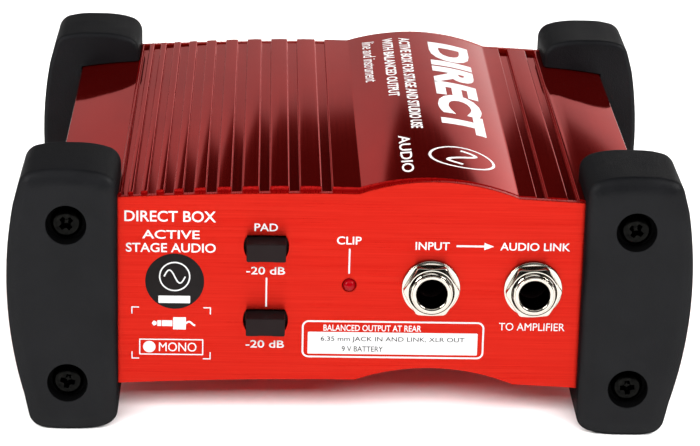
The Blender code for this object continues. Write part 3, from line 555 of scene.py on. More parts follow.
def moulded(name, colours, roughness, pitch, depth, gloss=0.5, edge_gloss=0.5):
    """Moulded rubber, plastic or ink with fine grain. Its gloss may differ between face on and edge on."""
    made, tree, shader = new_material(name, Specular_IOR_Level=gloss)
    if edge_gloss != gloss:
        facing = node(tree, "ShaderNodeLayerWeight", Blend=0.5)
        level = ranged(tree, facing.outputs["Facing"], gloss, edge_gloss, 0.15, 0.6)
        tree.links.new(level, shader.inputs["Specular IOR Level"])
    fine = grain(tree, (pitch, pitch, pitch), 3.0, 0.6)
    slow = grain(tree, (90, 90, 90), 3.0)
    paint(tree, shader, ranged(tree, slow), colours, slow, roughness)
    bumped(tree, shader, fine, depth, 0.6)
    return made


def metal(name, colours, roughness, pitch=(400, 400, 400), depth=0.000004):
    """Bare or plated metal with faint marks of its finishing."""
    made, tree, shader = new_material(name, Metallic=1.0)
    marks = grain(tree, pitch, 3.0, 0.6)
    paint(tree, shader, ranged(tree, marks), colours, marks, roughness)
    bumped(tree, shader, marks, depth, 0.4)
    return made


def lens(name, inner, outer):
    """Coloured epoxy of a diode, glossy all over. Its colour is lighter in the middle and darker where it
    turns edge-on: painted light and shade of light through the epoxy.
    """
    made, tree, shader = new_material(name, Roughness=0.04, Specular_IOR_Level=0.12)
    facing = node(tree, "ShaderNodeLayerWeight", Blend=0.35)
    cloud = grain(tree, (700, 700, 700), 2.0)
    share = calc(tree, "MULTIPLY_ADD", cloud, 0.15, facing.outputs["Facing"])
    tree.links.new(blended(tree, share, inner, outer), shader.inputs["Base Color"])
    return made


# Colours, range of roughness, grain in cycles per metre, its depth, and gloss face on and edge on
MOULDED = {
    "black_rubber": (
        ((0.0026, 0.0027, 0.0031), (0.0044, 0.0045, 0.0051)), (0.38, 0.48), 2600, 0.00016, 0.085, 0.003
    ),
    # Darker copy of the bumpers' rubber for the walls of the screw recesses: painted shade in the recesses
    "recess_shade_rubber": (
        ((0.0010, 0.0010, 0.0011), (0.0018, 0.0018, 0.0019)), (0.5, 0.6), 2600, 0.0001, 0.02, 0.01
    ),
    # black_plastic's red tint is a painted reflection of the red panels round the buttons
    "black_plastic": (
        ((0.0048, 0.0022, 0.0023), (0.0062, 0.0036, 0.0037)), (0.25, 0.35), 7000, 0.00001, 0.07, 0.04
    ),
    "board_green": (((0.010, 0.10, 0.035), (0.018, 0.15, 0.055)), (0.25, 0.35), 2500, 0.00002),
    "winding_tape": (((0.55, 0.33, 0.06), (0.70, 0.45, 0.10)), (0.3, 0.45), 900, 0.00005),
    "capacitor_sleeve": (((0.02, 0.03, 0.09), (0.03, 0.04, 0.13)), (0.2, 0.3), 1500, 0.00001),
    "red_insulation": (((0.38, 0.01, 0.01), (0.48, 0.02, 0.02)), (0.35, 0.5), 2000, 0.00002),
    "black_insulation": (((0.010, 0.010, 0.010), (0.02, 0.02, 0.02)), (0.35, 0.5), 2000, 0.00002),
    # white_ink on the panels is darker and dome_ink on the dome lighter, though both are one white ink:
    # painted shade on the panels and painted light on the dome
    "white_ink": (((0.35, 0.35, 0.35), (0.39, 0.39, 0.39)), (0.45, 0.6), 3000, 0.00001),
    "dome_ink": (((0.50, 0.50, 0.50), (0.56, 0.56, 0.56)), (0.45, 0.6), 3000, 0.00001),
    "black_ink": (((0.005, 0.004, 0.004), (0.007, 0.006, 0.006)), (0.4, 0.5), 3000, 0.00001, 0.04, 0.03),
}

# Colours and range of roughness, then cycles per metre of the marks along each axis where they aren't plain
METALS = {
    "black_steel": (((0.002, 0.002, 0.002), (0.006, 0.006, 0.0055)), (0.16, 0.28), (900, 900, 900)),
    "nickel": (((0.42, 0.39, 0.34), (0.49, 0.46, 0.41)), (0.08, 0.14)),
    "contact_metal": (((0.72, 0.58, 0.30), (0.85, 0.70, 0.42)), (0.15, 0.28)),
    "core_steel": (((0.26, 0.26, 0.27), (0.40, 0.40, 0.41)), (0.35, 0.5), (60, 2200, 60)),
    "battery_wrap": (((0.48, 0.49, 0.53), (0.58, 0.59, 0.63)), (0.28, 0.4)),
}

MATERIALS = {
    "red_anodised": anodised_red(),
    "red_brushed": brushed_red(),
    "red_edge_and_groove_shade": edge_and_groove_shade_red(),
    # Each lens's first colour is its painted glow in the middle, the second its painted shade at the rim
    "red_lens": lens("red_lens", (0.17, 0.0, 0.002), (0.10, 0.0, 0.001)),
    "green_lens": lens("green_lens", (0.05, 0.33, 0.07), (0.01, 0.10, 0.02)),
}
MATERIALS.update({name: moulded(name, *row) for name, row in MOULDED.items()})
MATERIALS.update({name: metal(name, *row) for name, row in METALS.items()})


# Case and panels


def groove_list():
    """(start, end) of every groove, from left to right."""
    grooves = []
    edge = RIB_START
    for i in range(RIB_COUNT):
        pitch = FIRST_RIB_PITCH if i == 0 else SECOND_RIB_PITCH + RIB_PITCH_STEP * (i - 1)
        width = min(WIDEST_GROOVE, (1.4 + 0.25 * i) * MM)
        edge += pitch
        grooves.append((edge - width, edge))
    return grooves + list(RIGHT_GROOVES)


def lower_line(half_width):
    """The underside from right to left."""
    stations = spaced(half_width, DOME_RIGHT, 10)
    stations += spaced(DOME_RIGHT, DOME_LEFT, 40)[1:]
    stations += spaced(DOME_LEFT, -half_width, 24)[1:]
    return [(x, underside(x)) for x in stations]


def case_outline():
    """The case's outer outline, with a small rounding on every groove's corners."""
    points = [(x, crown(x)) for x in spaced(-CASE_HALF_WIDTH, RIB_START - 0.2 * MM, 8)]
    points.append((RIB_START, case_top(RIB_START)))
    radii = {0: CASE_EDGE}
    for start, end in groove_list():
        before = points[-1][0]
        if start > DOME_RIGHT > before:
            points += [(x, case_top(x)) for x in spaced(DOME_LEFT, DOME_RIGHT, 56)]
        else:
            middle, half = (before + start) / 2, (start - before) / 2
            stations = spaced(before, start, 8)[1:-1]
            points += [(x, case_top(x) + LAND_RISE * (1 - ((x - middle) / half) ** 2)) for x in stations]
        radii.update(dict.fromkeys(range(len(points), len(points) + 4), GROOVE_ROUND))
        points += [(start, case_top(start)), (start, case_top(start) - GROOVE_DEPTH)]
        points += [(end, case_top(end) - GROOVE_DEPTH), (end, case_top(end))]
    points.append((RIGHT_LAND_END, case_top(RIGHT_LAND_END)))
    points += [(x, crown(x)) for x in spaced(RIGHT_LAND_END + RIGHT_LAND_SLOPE, CASE_HALF_WIDTH, 8)]
    radii[len(points) - 1] = CASE_EDGE
    return rounded_corners(points + lower_line(CASE_HALF_WIDTH), radii)


def case_cavity():
    """The room inside the case."""
    wall = CASE_HALF_WIDTH - CASE_WALL
    stations = spaced(-wall, wall, 40)
    roof = [(x, case_top(x) - CASE_ROOF) for x in stations]
    return roof + [(x, underside(x) + CASE_WALL) for x in reversed(stations)]


def is_cut_or_groove_shade(face):
    """Whether a face of the case is a cut end, or the side of a groove, where the darker red is painted shade.
    """
    x, _, z = face.center
    by_grooves = z > GROOVES_ABOVE and abs(x) < GROOVES_WITHIN and not DOME_LEFT <= x <= DOME_RIGHT
    return abs(face.normal.y) > 0.3 or (by_grooves and abs(face.normal.x) > 0.3)


def make_case():
    bm = plate(case_outline(), [case_cavity()], -CASE_END, CASE_END, CASE_EDGE, 2)
    # Cut ends and the grooves' sides take the darker red; on the grooves' sides it is painted shade
    recolour(add_piece("case_shell", bm, "red_anodised", "housing_extrusion"), "red_edge_and_groove_shade", is_cut_or_groove_shade)


def panel_outline():
    """Outline of an end panel: the crowned top with its dome, then the parallel lower edge."""
    stations = spaced(-PANEL_HALF_WIDTH, DOME_LEFT, 30)
    stations += spaced(DOME_LEFT, DOME_RIGHT, 48)[1:]
    stations += spaced(DOME_RIGHT, PANEL_HALF_WIDTH, 14)[1:]
    return [(x, crown(x) + dome(x)) for x in stations] + lower_line(PANEL_HALF_WIDTH)


def button_hole(name):
    """A round hole round a button, with its top and bottom cut flat."""
    middle = middle_of(name + "_button")
    centre = (middle.x, middle.z)
    angle = math.degrees(math.asin(BUTTON_HOLE_HALF_HEIGHT / BUTTON_HOLE_RADIUS))
    right = arc(centre, BUTTON_HOLE_RADIUS, -angle, angle, 12)
    left = arc(centre, BUTTON_HOLE_RADIUS, 180 - angle, 180 + angle, 12)
    return right + left


def hole_at(node_name, radius):
    """A round hole behind a CAD node."""
    middle = middle_of(node_name)
    return circle((middle.x, middle.z), radius)


def make_panels():
    """Both end panels, with holes where the CAD nodes pass through them."""
    heights = SCREW_HEIGHTS.values()
    shared = [circle((side * SCREW_X, z), SCREW_HOLE, 24) for side in (-1, 1) for z in heights]
    front = [button_hole(name) for name in FRONT_BUTTONS]
    front += [hole_at(name + "_jack_washer", JACK_HOLE) for name in JACKS]
    front.append(hole_at("clip_led", LED_HOLE))
    rear = [button_hole(name) for name in REAR_BUTTONS]
    shell = middle_of("xlr_shell")
    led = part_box("power_led")[1] - Vector((LED_FLANGE, 0, LED_FLANGE))
    rear += [circle((shell.x, shell.z), XLR_HOLE, 96), circle((led.x, led.z), LED_HOLE)]
    for name, holes, face in (("front_panel", front, -1), ("rear_panel", rear, 1)):
        start, end = sorted((face * PANEL_FACE, face * (PANEL_FACE - PANEL_THICKNESS)))
        bm = plate(panel_outline(), shared + holes, start, end, PANEL_EDGE)
        item = add_piece(name + "_plate", bm, "red_brushed", name)
        recolour(item, "red_edge_and_groove_shade", lambda cut: abs(cut.normal.y) < 0.5)


# Bumpers and screws


def crest(x):
    """How far the bumper's top and bottom edges fall at x from their highest line."""
    offset = max(0.0, abs(x - BUMPER_CREST) - BUMPER_FLAT)
    return BUMPER_CREST_RADIUS - math.sqrt(BUMPER_CREST_RADIUS**2 - offset**2)


def bulge(z):
    """The bumper's outer |x| at z."""
    reach = math.sqrt(BUMPER_SIDE_RADIUS**2 - (z - BUMPER_SIDE_Z) ** 2)
    return BUMPER_OUTER - BUMPER_SIDE_RADIUS + reach


def bumper_outline():
    """The bumper seen from the front, on the right of the box."""
    start = BUMPER_INNER + BUMPER_CORNER + 0.2 * MM
    low = [(x, crest(x)) for x in spaced(start, BUMPER_LOW_CORNER - 4.2 * MM, 12)]
    high = [(x, BUMPER_HEIGHT - crest(x)) for x in spaced(BUMPER_HIGH_CORNER - 4.2 * MM, start, 12)]
    side = [(bulge(z), z) for z in spaced(8 * MM, 52 * MM, 24)]
    inner = [(BUMPER_INNER, z) for z in spaced(50 * MM, 10 * MM, 8)]
    corners = (
        (inner, (BUMPER_INNER, crest(BUMPER_INNER)), low),
        (low, (BUMPER_LOW_CORNER, crest(BUMPER_LOW_CORNER)), side),
        (side, (BUMPER_HIGH_CORNER, BUMPER_HEIGHT - crest(BUMPER_HIGH_CORNER)), high),
        (high, (BUMPER_INNER, BUMPER_HEIGHT - crest(BUMPER_INNER)), inner),
    )
    points = []
    for before, corner, after in corners:
        points += fillet(before[-1], corner, after[0], BUMPER_CORNER, 10) + after
    return points


def bumper_body(side):
    """A front bumper on that side, before its pocket is cut. Its face has two stepped recesses."""
    outline = anticlockwise([(side * x, z) for x, z in bumper_outline()])
    front, back = -BUMPER_FRONT, -BUMPER_FRONT + BUMPER_DEPTH
    rounding = arc((front + BUMPER_FACE_ROUND, BUMPER_FACE_ROUND), BUMPER_FACE_ROUND, 180, 270, 10)
    rounding = [(y, BUMPER_FACE_SPREAD * distance) for y, distance in rounding]
    rounding += arc((back - BUMPER_LIP_ROUND, BUMPER_LIP_ROUND), BUMPER_LIP_ROUND, 270, 360, 5)
    bm = bmesh.new()
    loops = [ring(bm, y, inset(outline, distance)) for y, distance in rounding]
    skin(bm, loops)
    mouths = []
    lip = arc((front + RECESS_ROUND, RECESS_RADIUS + RECESS_ROUND), RECESS_ROUND, 180, 270, 4)
    steps = lip + [(front + RECESS_DEPTH, RECESS_RADIUS - 0.15 * MM), (front + RECESS_DEPTH, SCREW_HOLE)]
    steps.append((front + RECESS_DEPTH + 1.2 * MM, SCREW_HOLE))
    for z in SCREW_HEIGHTS.values():
        rings = [ring(bm, y, circle((side * SCREW_X, z), radius, 48)) for y, radius in steps]
        skin(bm, rings)
        bm.faces.new(rings[-1])
        mouths.append(rings[0])
    fill(bm, [loops[0], *mouths])
    bm.faces.new(loops[-1])
    return finished(bm)


def pocket(side):
    """The room for the case's corner and the panel's edge inside a bumper."""
    stations = spaced(SHOULDER, CASE_HALF_WIDTH + POCKET_GAP, 10)
    roof = [(40 * MM, crown(SHOULDER) + POCKET_GAP)] + [(x, crown(x) + POCKET_GAP) for x in stations]
    floor = [(x, z - PANEL_HEIGHT - 2 * POCKET_GAP) for x, z in reversed(roof)]
    outline = [(side * x, z) for x, z in roof + floor]
    return plate(outline, [], -PANEL_FACE - POCKET_GAP, -BUMPER_FRONT + BUMPER_DEPTH + 2 * MM, 0.1 * MM, 1)


def in_shaded_recess(face):
    """Whether a face of a front bumper is inside a screw's recess, whose walls take a darker rubber as painted
    shade.
    """
    x, y, z = face.center
    near = min(math.hypot(abs(x) - SCREW_X, z - height) for height in SCREW_HEIGHTS.values())
    return near < RECESS_RADIUS + 0.05 * MM and y > -BUMPER_FRONT + 0.05 * MM


def make_bumpers():
    for end in ("front", "rear"):
        for name, side in (("left", -1), ("right", 1)):
            rear = end == "rear"
            made_on = -side if rear else side
            bm = subtract(bumper_body(made_on), pocket(made_on))
            label = f"bumper_{end}_{name}"
            item = add_piece(label + "_rubber", bm, "black_rubber", label, rear=rear)
            # The walls of the screw recesses take the darker rubber as painted shade
            recolour(item, "recess_shade_rubber", in_shaded_recess)


def screw_mesh(head_profile, tip_radius, length):
    """A cross-recessed screw whose head profile runs from the top down to the shaft."""
    top, head = head_profile[0][0], max(radius for _, radius in head_profile)
    half, reach = 0.15 * head, 0.48 * head
    quarter = [(reach, half), (1.6 * half, 1.15 * half), (1.15 * half, 1.6 * half), (half, reach)]
    cross = []
    for turn in range(4):
        for x, z in quarter:
            for _ in range(turn):
                x, z = -z, x
            cross.append((x, z))
    profile = head_profile + [(length - tip_radius, tip_radius), (length, 0.3 * tip_radius)]
    bm = bmesh.new()
    rings = [ring(bm, y, circle((0, 0), radius, 48)) for y, radius in profile]
    skin(bm, rings)
    bm.faces.new(rings[-1])
    depth = 0.42 * head
    levels = ((0.0, 1.0), (0.06 * MM, 0.94), (0.8 * depth, 0.62), (depth, 0.3))
    walls = [ring(bm, top + deep, [(share * x, share * z) for x, z in cross]) for deep, share in levels]
    skin(bm, walls)
    bm.faces.new(walls[-1])
    fill(bm, [rings[0], walls[0]])
    return finished(bm)


def make_bumper_screws():
    """Pan-head screws, each turned to a chance angle of its own."""
    for i, label in enumerate(sorted(name for name in frame["nodes"] if name.startswith("screw_"))):
        low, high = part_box(label)
        rear = low.y > 0
        radius, height, shaft = (high.x - low.x) / 2, 2.0 * MM, 1.6 * MM
        pan = [(y * MM, share * radius) for y, share in PAN_HEAD]
        bm = screw_mesh(pan + [(0, shaft)], shaft, 16 * MM)
        bmesh.ops.rotate(bm, verts=bm.verts, matrix=Matrix.Rotation(math.radians(37 * i + 12), 3, "Y"))
        seat = high.y - height if rear else low.y + height
        place = ((low.x + high.x) / 2, seat, (low.z + high.z) / 2)
        add_piece(label + "_pan", bm, "black_steel", label, place, rear)


# Buttons and diodes


def button_cap():
    """A button cap, with a shallow notch in the middle of its face's lower edge."""
    outline = rounded_rectangle((0, 0), *mm(8.5, 4.1, 0.35), 4)
    cap = plate(outline, [], *mm(-4.5, 2.2, 0.25))
    outline = rounded_rectangle(mm(0, -2.1), *mm(3.2, 0.7, 0.1), 2)
    return subtract(cap, plate(outline, [], *mm(-5, -4.1, 0.05), 1))


def make_buttons():
    """Caps with their flanges behind the panel, each riding on its own body."""
    for name in FRONT_BUTTONS + REAR_BUTTONS:
        label = name + "_button"
        rear = name in REAR_BUTTONS
        middle = middle_of(label)
        place = (middle.x, PANEL_FACE if rear else -PANEL_FACE, middle.z)
        bm = button_cap()
        flange = rounded_rectangle((0, 0), *mm(10.7, 6.3, 0.3), 3)
        join(bm, plate(flange, [], *mm(2.1, 3.0, 0.1), 1))
        add_piece(name + "_cap", bm, "black_plastic", label, place, rear, name + "_press")


def make_diodes():
    for label, material, rear in (("clip_led", "red_lens", False), ("power_led", "green_lens", True)):
        low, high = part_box(label)
        radius, proud = mm(1.45, 1.3)
        centre = (high.x - LED_FLANGE if rear else (low.x + high.x) / 2, high.z - LED_FLANGE)
        profile = [(-proud + radius - a, b) for a, b in arc((0, 0), radius, 0, 90, 14)]
        profile[0] = (-proud, 0)
        profile += [(1.8 * MM, radius), (1.8 * MM, LED_FLANGE), (6.0 * MM, LED_FLANGE), (6.0 * MM, 0)]
        place = (centre[0], PANEL_FACE if rear else -PANEL_FACE, centre[1])
        add_piece(label + "_lens", turned(profile, 48), material, label, place, rear)


# Jack sockets: local y = 0 is the panel's face


def thread(y, radius, angle):
    """Radius of an M9 x 0.75 thread at an angle, on the stretch in front of the nut."""
    start, end = mm(-4.15, -2.6)
    if not (start < y < end and radius > 4.3 * MM):
        return radius
    phase = (y / (0.75 * MM) + angle / (2 * math.pi)) % 1
    return radius - 0.42 * MM * (1 - abs(2 * phase - 1))


def bushing_profile():
    """The threaded bushing from its bore's inner end, round its mouth and back to its flange."""
    bore, outer, front = mm(3.3, 4.5, -4.6)
    profile = [(3.0 * MM, bore)]
    profile += arc((front + 0.55 * MM, bore + 0.55 * MM), 0.55 * MM, 270, 180, 6)
    profile += arc((front + 0.2 * MM, outer - 0.45 * MM), 0.2 * MM, 180, 90, 4)
    profile += [(y, outer) for y in spaced(*mm(-4.3, -2.4), 26)]
    return profile + [(1.8 * MM, outer), mm(1.8, 6.0), mm(3.0, 6.0)]


def nut_radius(angle, flats, turn):
    """Distance from the axis to a hexagon's side at an angle, its corners turned off."""
    sixth = math.pi / 3
    offset = (angle - turn + sixth / 2) % sixth - sixth / 2
    return min(flats / 2 / math.cos(offset), NUT_CORNER)


def nut_mesh(start, end, bore, flats, turn):
    """A hexagon nut whose front corners are turned off by a cone, with flats above and below."""
    segments = 144
    crown_radius = 0.95 * flats / 2
    slope = math.tan(math.radians(30))
    angles = spaced(0, 2 * math.pi, segments)[:-1]
    outer = [nut_radius(a, flats, math.radians(30 + turn)) for a in angles]
    soft = [r - 0.08 * MM for r in outer]
    inner = [(start + 0.5 * MM, bore), (start + 0.12 * MM, bore + 0.12 * MM), (start, bore + 0.42 * MM)]
    inner += [(start, crown_radius - 0.12 * MM), (start + 0.03 * MM, crown_radius)]
    rows = [[point] * segments for point in inner]
    rows.append([(start + 0.03 * MM + max(0.0, r - crown_radius) * slope, r) for r in soft])
    rows.append([(start + 0.10 * MM + max(0.0, r - crown_radius) * slope, r) for r in outer])
    rows.append([(end - 0.06 * MM, r) for r in outer])
    rows.append([(end, r - 0.06 * MM) for r in outer])
    rows.append([(end, bore)] * segments)
    bm = bmesh.new()
    rings = [
        [bm.verts.new((r * math.cos(a), y, r * math.sin(a))) for a, (y, r) in zip(angles, row)]
        for row in rows
    ]
    skin(bm, rings, closed=True)
    return finished(bm)


def make_jacks():
    for name in JACKS:
        centre = middle_of(name + "_jack_washer")
        place = (centre.x, -PANEL_FACE, centre.z)
        bushing = turned(bushing_profile(), 96, closed=True, radius_at=thread)
        add_piece(name + "_bushing", bushing, "nickel", name + "_jack_bushing", place)
        washer = turned([mm(*point) for point in WASHER], 128, closed=True)
        add_piece(name + "_washer", washer, "nickel", name + "_jack_washer", place)
        turn = LINK_NUT_TURN if name == "link" else 0.0
        nut = nut_mesh(*mm(-3.5, -1.1, 4.8, 10.8), turn)
        add_piece(name + "_nut", nut, "nickel", name + "_jack_nut", place, sharp=25)


# The XLR socket on the rear panel: local -Y points out of it


def make_xlr():
    low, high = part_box("xlr_shell")
    place = ((low.x + high.x) / 2, PANEL_FACE, (low.z + high.z) / 2)
    face, back, cavity, lip = mm(-2.0, -0.3, 7.9, 8.9)
    outline = rounded_rectangle((0, 0), *mm(26, 31, 3), 10)
    flange = plate(outline, [circle((0, 0), lip, 96)], face, back, 0.35 * MM)
    for name in ("upper", "lower"):
        spot = middle_of("xlr_screw_" + name)
        sink = turned([mm(*point) for point in COUNTERSINK], 48)
        bmesh.ops.translate(sink, verts=sink.verts, vec=(place[0] - spot.x, 0, spot.z - place[2]))
        flange = subtract(flange, sink)
    barrel = arc((face + 0.5 * MM, cavity + 0.5 * MM), 0.5 * MM, 270, 180, 6)
    barrel += [(face, lip), (back, lip), (back, 11.5 * MM), mm(20, 11.5), (20 * MM, cavity)]
    join(flange, turned(barrel, 96, closed=True))
    add_piece("xlr_flange", flange, "nickel", "xlr_shell", place, rear=True)

    pins = {name: middle_of(name) for name in ("xlr_pin_1", "xlr_pin_2", "xlr_pin_3")}
    holes = [circle((place[0] - spot.x, spot.z - place[2]), 1.5 * MM, 24) for spot in pins.values()]
    insert = plate(circle((0, 0), 7.6 * MM, 96), holes, *mm(14, 20, 0.2))
    add_piece("xlr_inlay", insert, "black_plastic", "xlr_insert", place, rear=True)
    for name, spot in pins.items():
        tip = arc((3.7 * MM, 0), 1.2 * MM, 180, 90, 8)
        profile = [(y, max(0.0, radius)) for y, radius in tip] + [mm(24, 1.2), mm(24, 0)]
        profile[0] = mm(2.5, 0)
        pin = turned(profile, 32)
        add_piece(name + "_tip", pin, "contact_metal", name, (spot.x, PANEL_FACE, spot.z), rear=True)
    for name in ("xlr_screw_upper", "xlr_screw_lower"):
        low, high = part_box(name)
        screw = screw_mesh([mm(-1.3, 2.62), mm(-1.22, 2.7), mm(0, 1.4)], 1.4 * MM, 8 * MM)
        spot = ((low.x + high.x) / 2, high.y - 1.3 * MM, (low.z + high.z) / 2)
        add_piece(name + "_flat", screw, "black_steel", name, spot, rear=True)


# Print: flat shapes on a sheet, then laid on a surface


def add_shape(sheet, *loops):
    """A filled outline, less its holes, on the sheet."""
    fill(sheet, [[sheet.verts.new((x, y, 0)) for x, y in loop] for loop in loops])


def add_line(sheet, start, end, width):
    """A straight stroke."""
    start, end = Vector(start), Vector(end)
    across = (end - start).normalized().orthogonal() * width / 2
    add_shape(sheet, [start + across, start - across, end - across, end + across])


def add_stroke(sheet, points, width):
    """A stroke of even width along a line of points."""
    left, right = [], []
    for i, point in enumerate(points):
        before, after = points[max(0, i - 1)], points[min(len(points) - 1, i + 1)]
        across = (Vector(after) - Vector(before)).normalized().orthogonal() * width / 2
        left.append(Vector(point) + across)
        right.append(Vector(point) - across)
    add_shape(sheet, left + right[::-1])


def add_words(sheet, words, centre, width, height, weight=0.012, slant=0.0):
    """Generic words, thickened by weight and scaled to fill a box given in millimetres."""
    text = bpy.data.curves.new("words", "FONT")
    text.body = words
    text.offset = weight
    text.shear = slant
    text.resolution_u = 4
    item = add_object("words", text)
    mesh = bpy.data.meshes.new_from_object(item.evaluated_get(bpy.context.evaluated_depsgraph_get()))
    bpy.data.objects.remove(item, do_unlink=True)
    bpy.data.curves.remove(text)
    xs = [v.co.x for v in mesh.vertices]
    ys = [v.co.y for v in mesh.vertices]
    middle = Vector(((min(xs) + max(xs)) / 2, (min(ys) + max(ys)) / 2, 0))
    grow = Vector((width * MM / (max(xs) - min(xs)), height * MM / (max(ys) - min(ys)), 1))
    for vertex in mesh.vertices:
        vertex.co = (vertex.co - middle) * grow + Vector((*mm(*centre), 0))
        vertex.co.z = 0
    sheet.from_mesh(mesh)
    bpy.data.meshes.remove(mesh)


def lay_print(name, sheet, ink, surface, level=0, cuts=()):
    """Gives the sheet its thickness and lays it on a surface, where it can bend along its cuts."""
    bmesh.ops.remove_doubles(sheet, verts=sheet.verts, dist=0.0005 * MM)
    for x in cuts:
        geometry = sheet.verts[:] + sheet.edges[:] + sheet.faces[:]
        bmesh.ops.bisect_plane(sheet, geom=geometry, plane_co=(0, x, 0), plane_no=(0, 1, 0), dist=1e-7)
    grown = bmesh.ops.extrude_face_region(sheet, geom=sheet.faces[:])["geom"]
    raised = [v for v in grown if isinstance(v, bmesh.types.BMVert)]
    bmesh.ops.translate(sheet, verts=raised, vec=(0, 0, INK))
    for vertex in sheet.verts:
        x, y, z = vertex.co
        vertex.co = surface(x, y, z + (0.25 + level) * INK)
    add_piece(name, finished(sheet), ink, sharp=30)


def on_front(x, y, height):
    return x, -PANEL_FACE - height, y


def on_rear(x, y, height):
    return -x, PANEL_FACE + height, y


def on_dome(x, y, height):
    """The dome's words read towards the front, with their tops to the right."""
    return y, -x, case_top(y) + height


def sine(centre, width, height):
    """Points on one period of a sine wave."""
    x, y = centre
    return [(x + width * (t - 0.5), y + height / 2 * math.sin(2 * math.pi * t)) for t in spaced(0, 1, 24)]


def add_frame(sheet, centre, outer, inner, steps):
    """A frame between two rectangles, each with its width, height and corner radius."""
    add_shape(sheet, *(rounded_rectangle(centre, *size, steps) for size in (outer, inner)))


def add_emblem(sheet, centre, radii, wave, stroke, steps):
    """A sine wave of that width and height in a round frame."""
    add_shape(sheet, *(circle(centre, radius, steps) for radius in radii))
    add_stroke(sheet, sine(centre, *wave), stroke)


def add_brackets(sheet, centre, width, height, arm, stroke):
    """Four corner marks round a block."""
    for side in (-1, 1):
        for rise in (-1, 1):
            x, z = centre[0] + side * width / 2, centre[1] + rise * height / 2
            inner_x, inner_z = x - side * stroke, z - rise * stroke
            add_shape(sheet, [(x, z), (x - side * arm, z), (x - side * arm, inner_z), (inner_x, inner_z),
                              (inner_x, z - rise * arm), (x, z - rise * arm)])


def add_plug(sheet, centre, length):
    """A plain picture of a jack plug, pointing left."""
    x, z = centre
    unit = length / 10
    shapes = [[(-5, 0), (-4.4, 0.75), (-3.7, 0.35), (-3.7, -0.35), (-4.4, -0.75)]]
    for low, high, half in ((-3.5, -2.5, 0.8), (-2.3, 0.4, 0.8), (0.6, 3.9, 1.7)):
        shapes.append([(low, -half), (high, -half), (high, half), (low, half)])
    for shape in shapes:
        add_shape(sheet, [(x + a * unit, z + b * unit) for a, b in shape])
    cord = [(x + (3.9 + t) * unit, z + 0.5 * unit * math.sin(2 * t)) for t in spaced(0, 2.4, 10)]
    add_stroke(sheet, cord, 0.5 * unit)


def make_front_print():
    sheet = bmesh.new()
    words = (
        ("DIRECT BOX", (-39.09, 48.6), 19.7, 2.5), ("ACTIVE", (-38.93, 44.45), 12.4, 2.0),
        ("STAGE AUDIO", (-38.94, 41.41), 19.4, 2.1), ("PAD", (-18.4, 46.38), 5.06, 1.75),
        ("-20 dB", (-18.38, 36.4), 8.41, 1.78), ("-20 dB", (-18.36, 19.3), 8.41, 1.78),
        ("CLIP", (-0.41, 43.61), 5.34, 1.85), ("INPUT", (17.68, 42.57), 7.41, 1.82),
        ("AUDIO LINK", (39.96, 42.68), 15.2, 1.82), ("TO AMPLIFIER", (39.99, 24.05), 14.4, 1.8),
        ("BALANCED OUTPUT AT REAR", (5.1, 23.31), 21.4, 1.45), ("MONO", (-37.4, 18.35), 8.2, 2.1),
    )
    for row in words:
        # Thickening a font's M makes its strokes cross, so words with one keep the plain weight
        add_words(sheet, *row, weight=0.0 if "M" in row[0] else 0.012)
    add_line(sheet, mm(-18.19, 28.05), mm(-18.19, 34.79), 0.35 * MM)
    add_line(sheet, mm(-0.28, 35.99), mm(-0.28, 41.74), 0.35 * MM)
    add_line(sheet, mm(22.85, 42.64), mm(28.9, 42.64), 0.42 * MM)
    add_shape(sheet, [mm(28.9, 41.79), mm(30.98, 42.64), mm(28.9, 43.47)])
    add_brackets(sheet, mm(-38.84, 21.62), *mm(17.31, 12.22, 1.68, 0.24))
    add_plug(sheet, mm(-38.9, 23.9), 8.4 * MM)
    add_frame(sheet, mm(-38.81, 18.35), mm(14.0, 3.75, 0.1), mm(13.5, 3.25, 0.1), 1)
    add_shape(sheet, circle(mm(-43.6, 18.35), 1.35 * MM, 32))
    add_frame(sheet, mm(9.65, 20.65), mm(39.9, 8.7, 1.5), mm(39.14, 7.94, 1.15), 8)
    add_shape(sheet, rounded_rectangle(mm(9.6, 19.75), *mm(37.2, 5.15, 0.2), 2))
    lay_print("front_print", sheet, "white_ink", on_front)

    sheet = bmesh.new()
    add_shape(sheet, circle(mm(-38.09, 33.69), 6.4 * MM, 96))
    add_words(sheet, "6.35 mm JACK IN AND LINK, XLR OUT", (9.6, 20.6), 31.5, 1.35, 0.0)
    add_words(sheet, "9 V BATTERY", (3.0, 18.4), 9.0, 1.25, 0.0)
    lay_print("front_print_dark", sheet, "black_ink", on_front, 1)

    sheet = bmesh.new()
    add_emblem(sheet, mm(-38.09, 34.8), mm(3.4, 3.1), mm(4.6, 3.0), 0.3 * MM, 64)
    add_shape(sheet, rounded_rectangle(mm(-38.17, 29.5), *mm(6.9, 1.7, 0.1), 1))
    lay_print("front_print_badge", sheet, "white_ink", on_front, 2)


def make_dome_print():
    sheet = bmesh.new()
    words = (
        ("DIRECT", (-13.7, 26.5), 72.5, 10.2, 0.05),
        ("ACTIVE BOX FOR STAGE AND STUDIO USE", (-14.9, 15.6), 75.0, 2.7, 0.02),
        ("WITH BALANCED OUTPUT", (-27.8, 11.4), 49.5, 2.6, 0.02),
        ("line and instrument", (-34.5, 6.6), 35.0, 3.0, 0.0, 0.3),
        ("AUDIO", (40.8, 12.3), 26.0, 2.6, 0.01),
    )
    for row in words:
        add_words(sheet, *row)
    add_emblem(sheet, mm(42.0, 24.6), mm(7.4, 6.8), mm(9.5, 6.4), 0.9 * MM, 96)
    lay_print("dome_print", sheet, "dome_ink", on_dome, cuts=spaced(*mm(2, 36), 85))


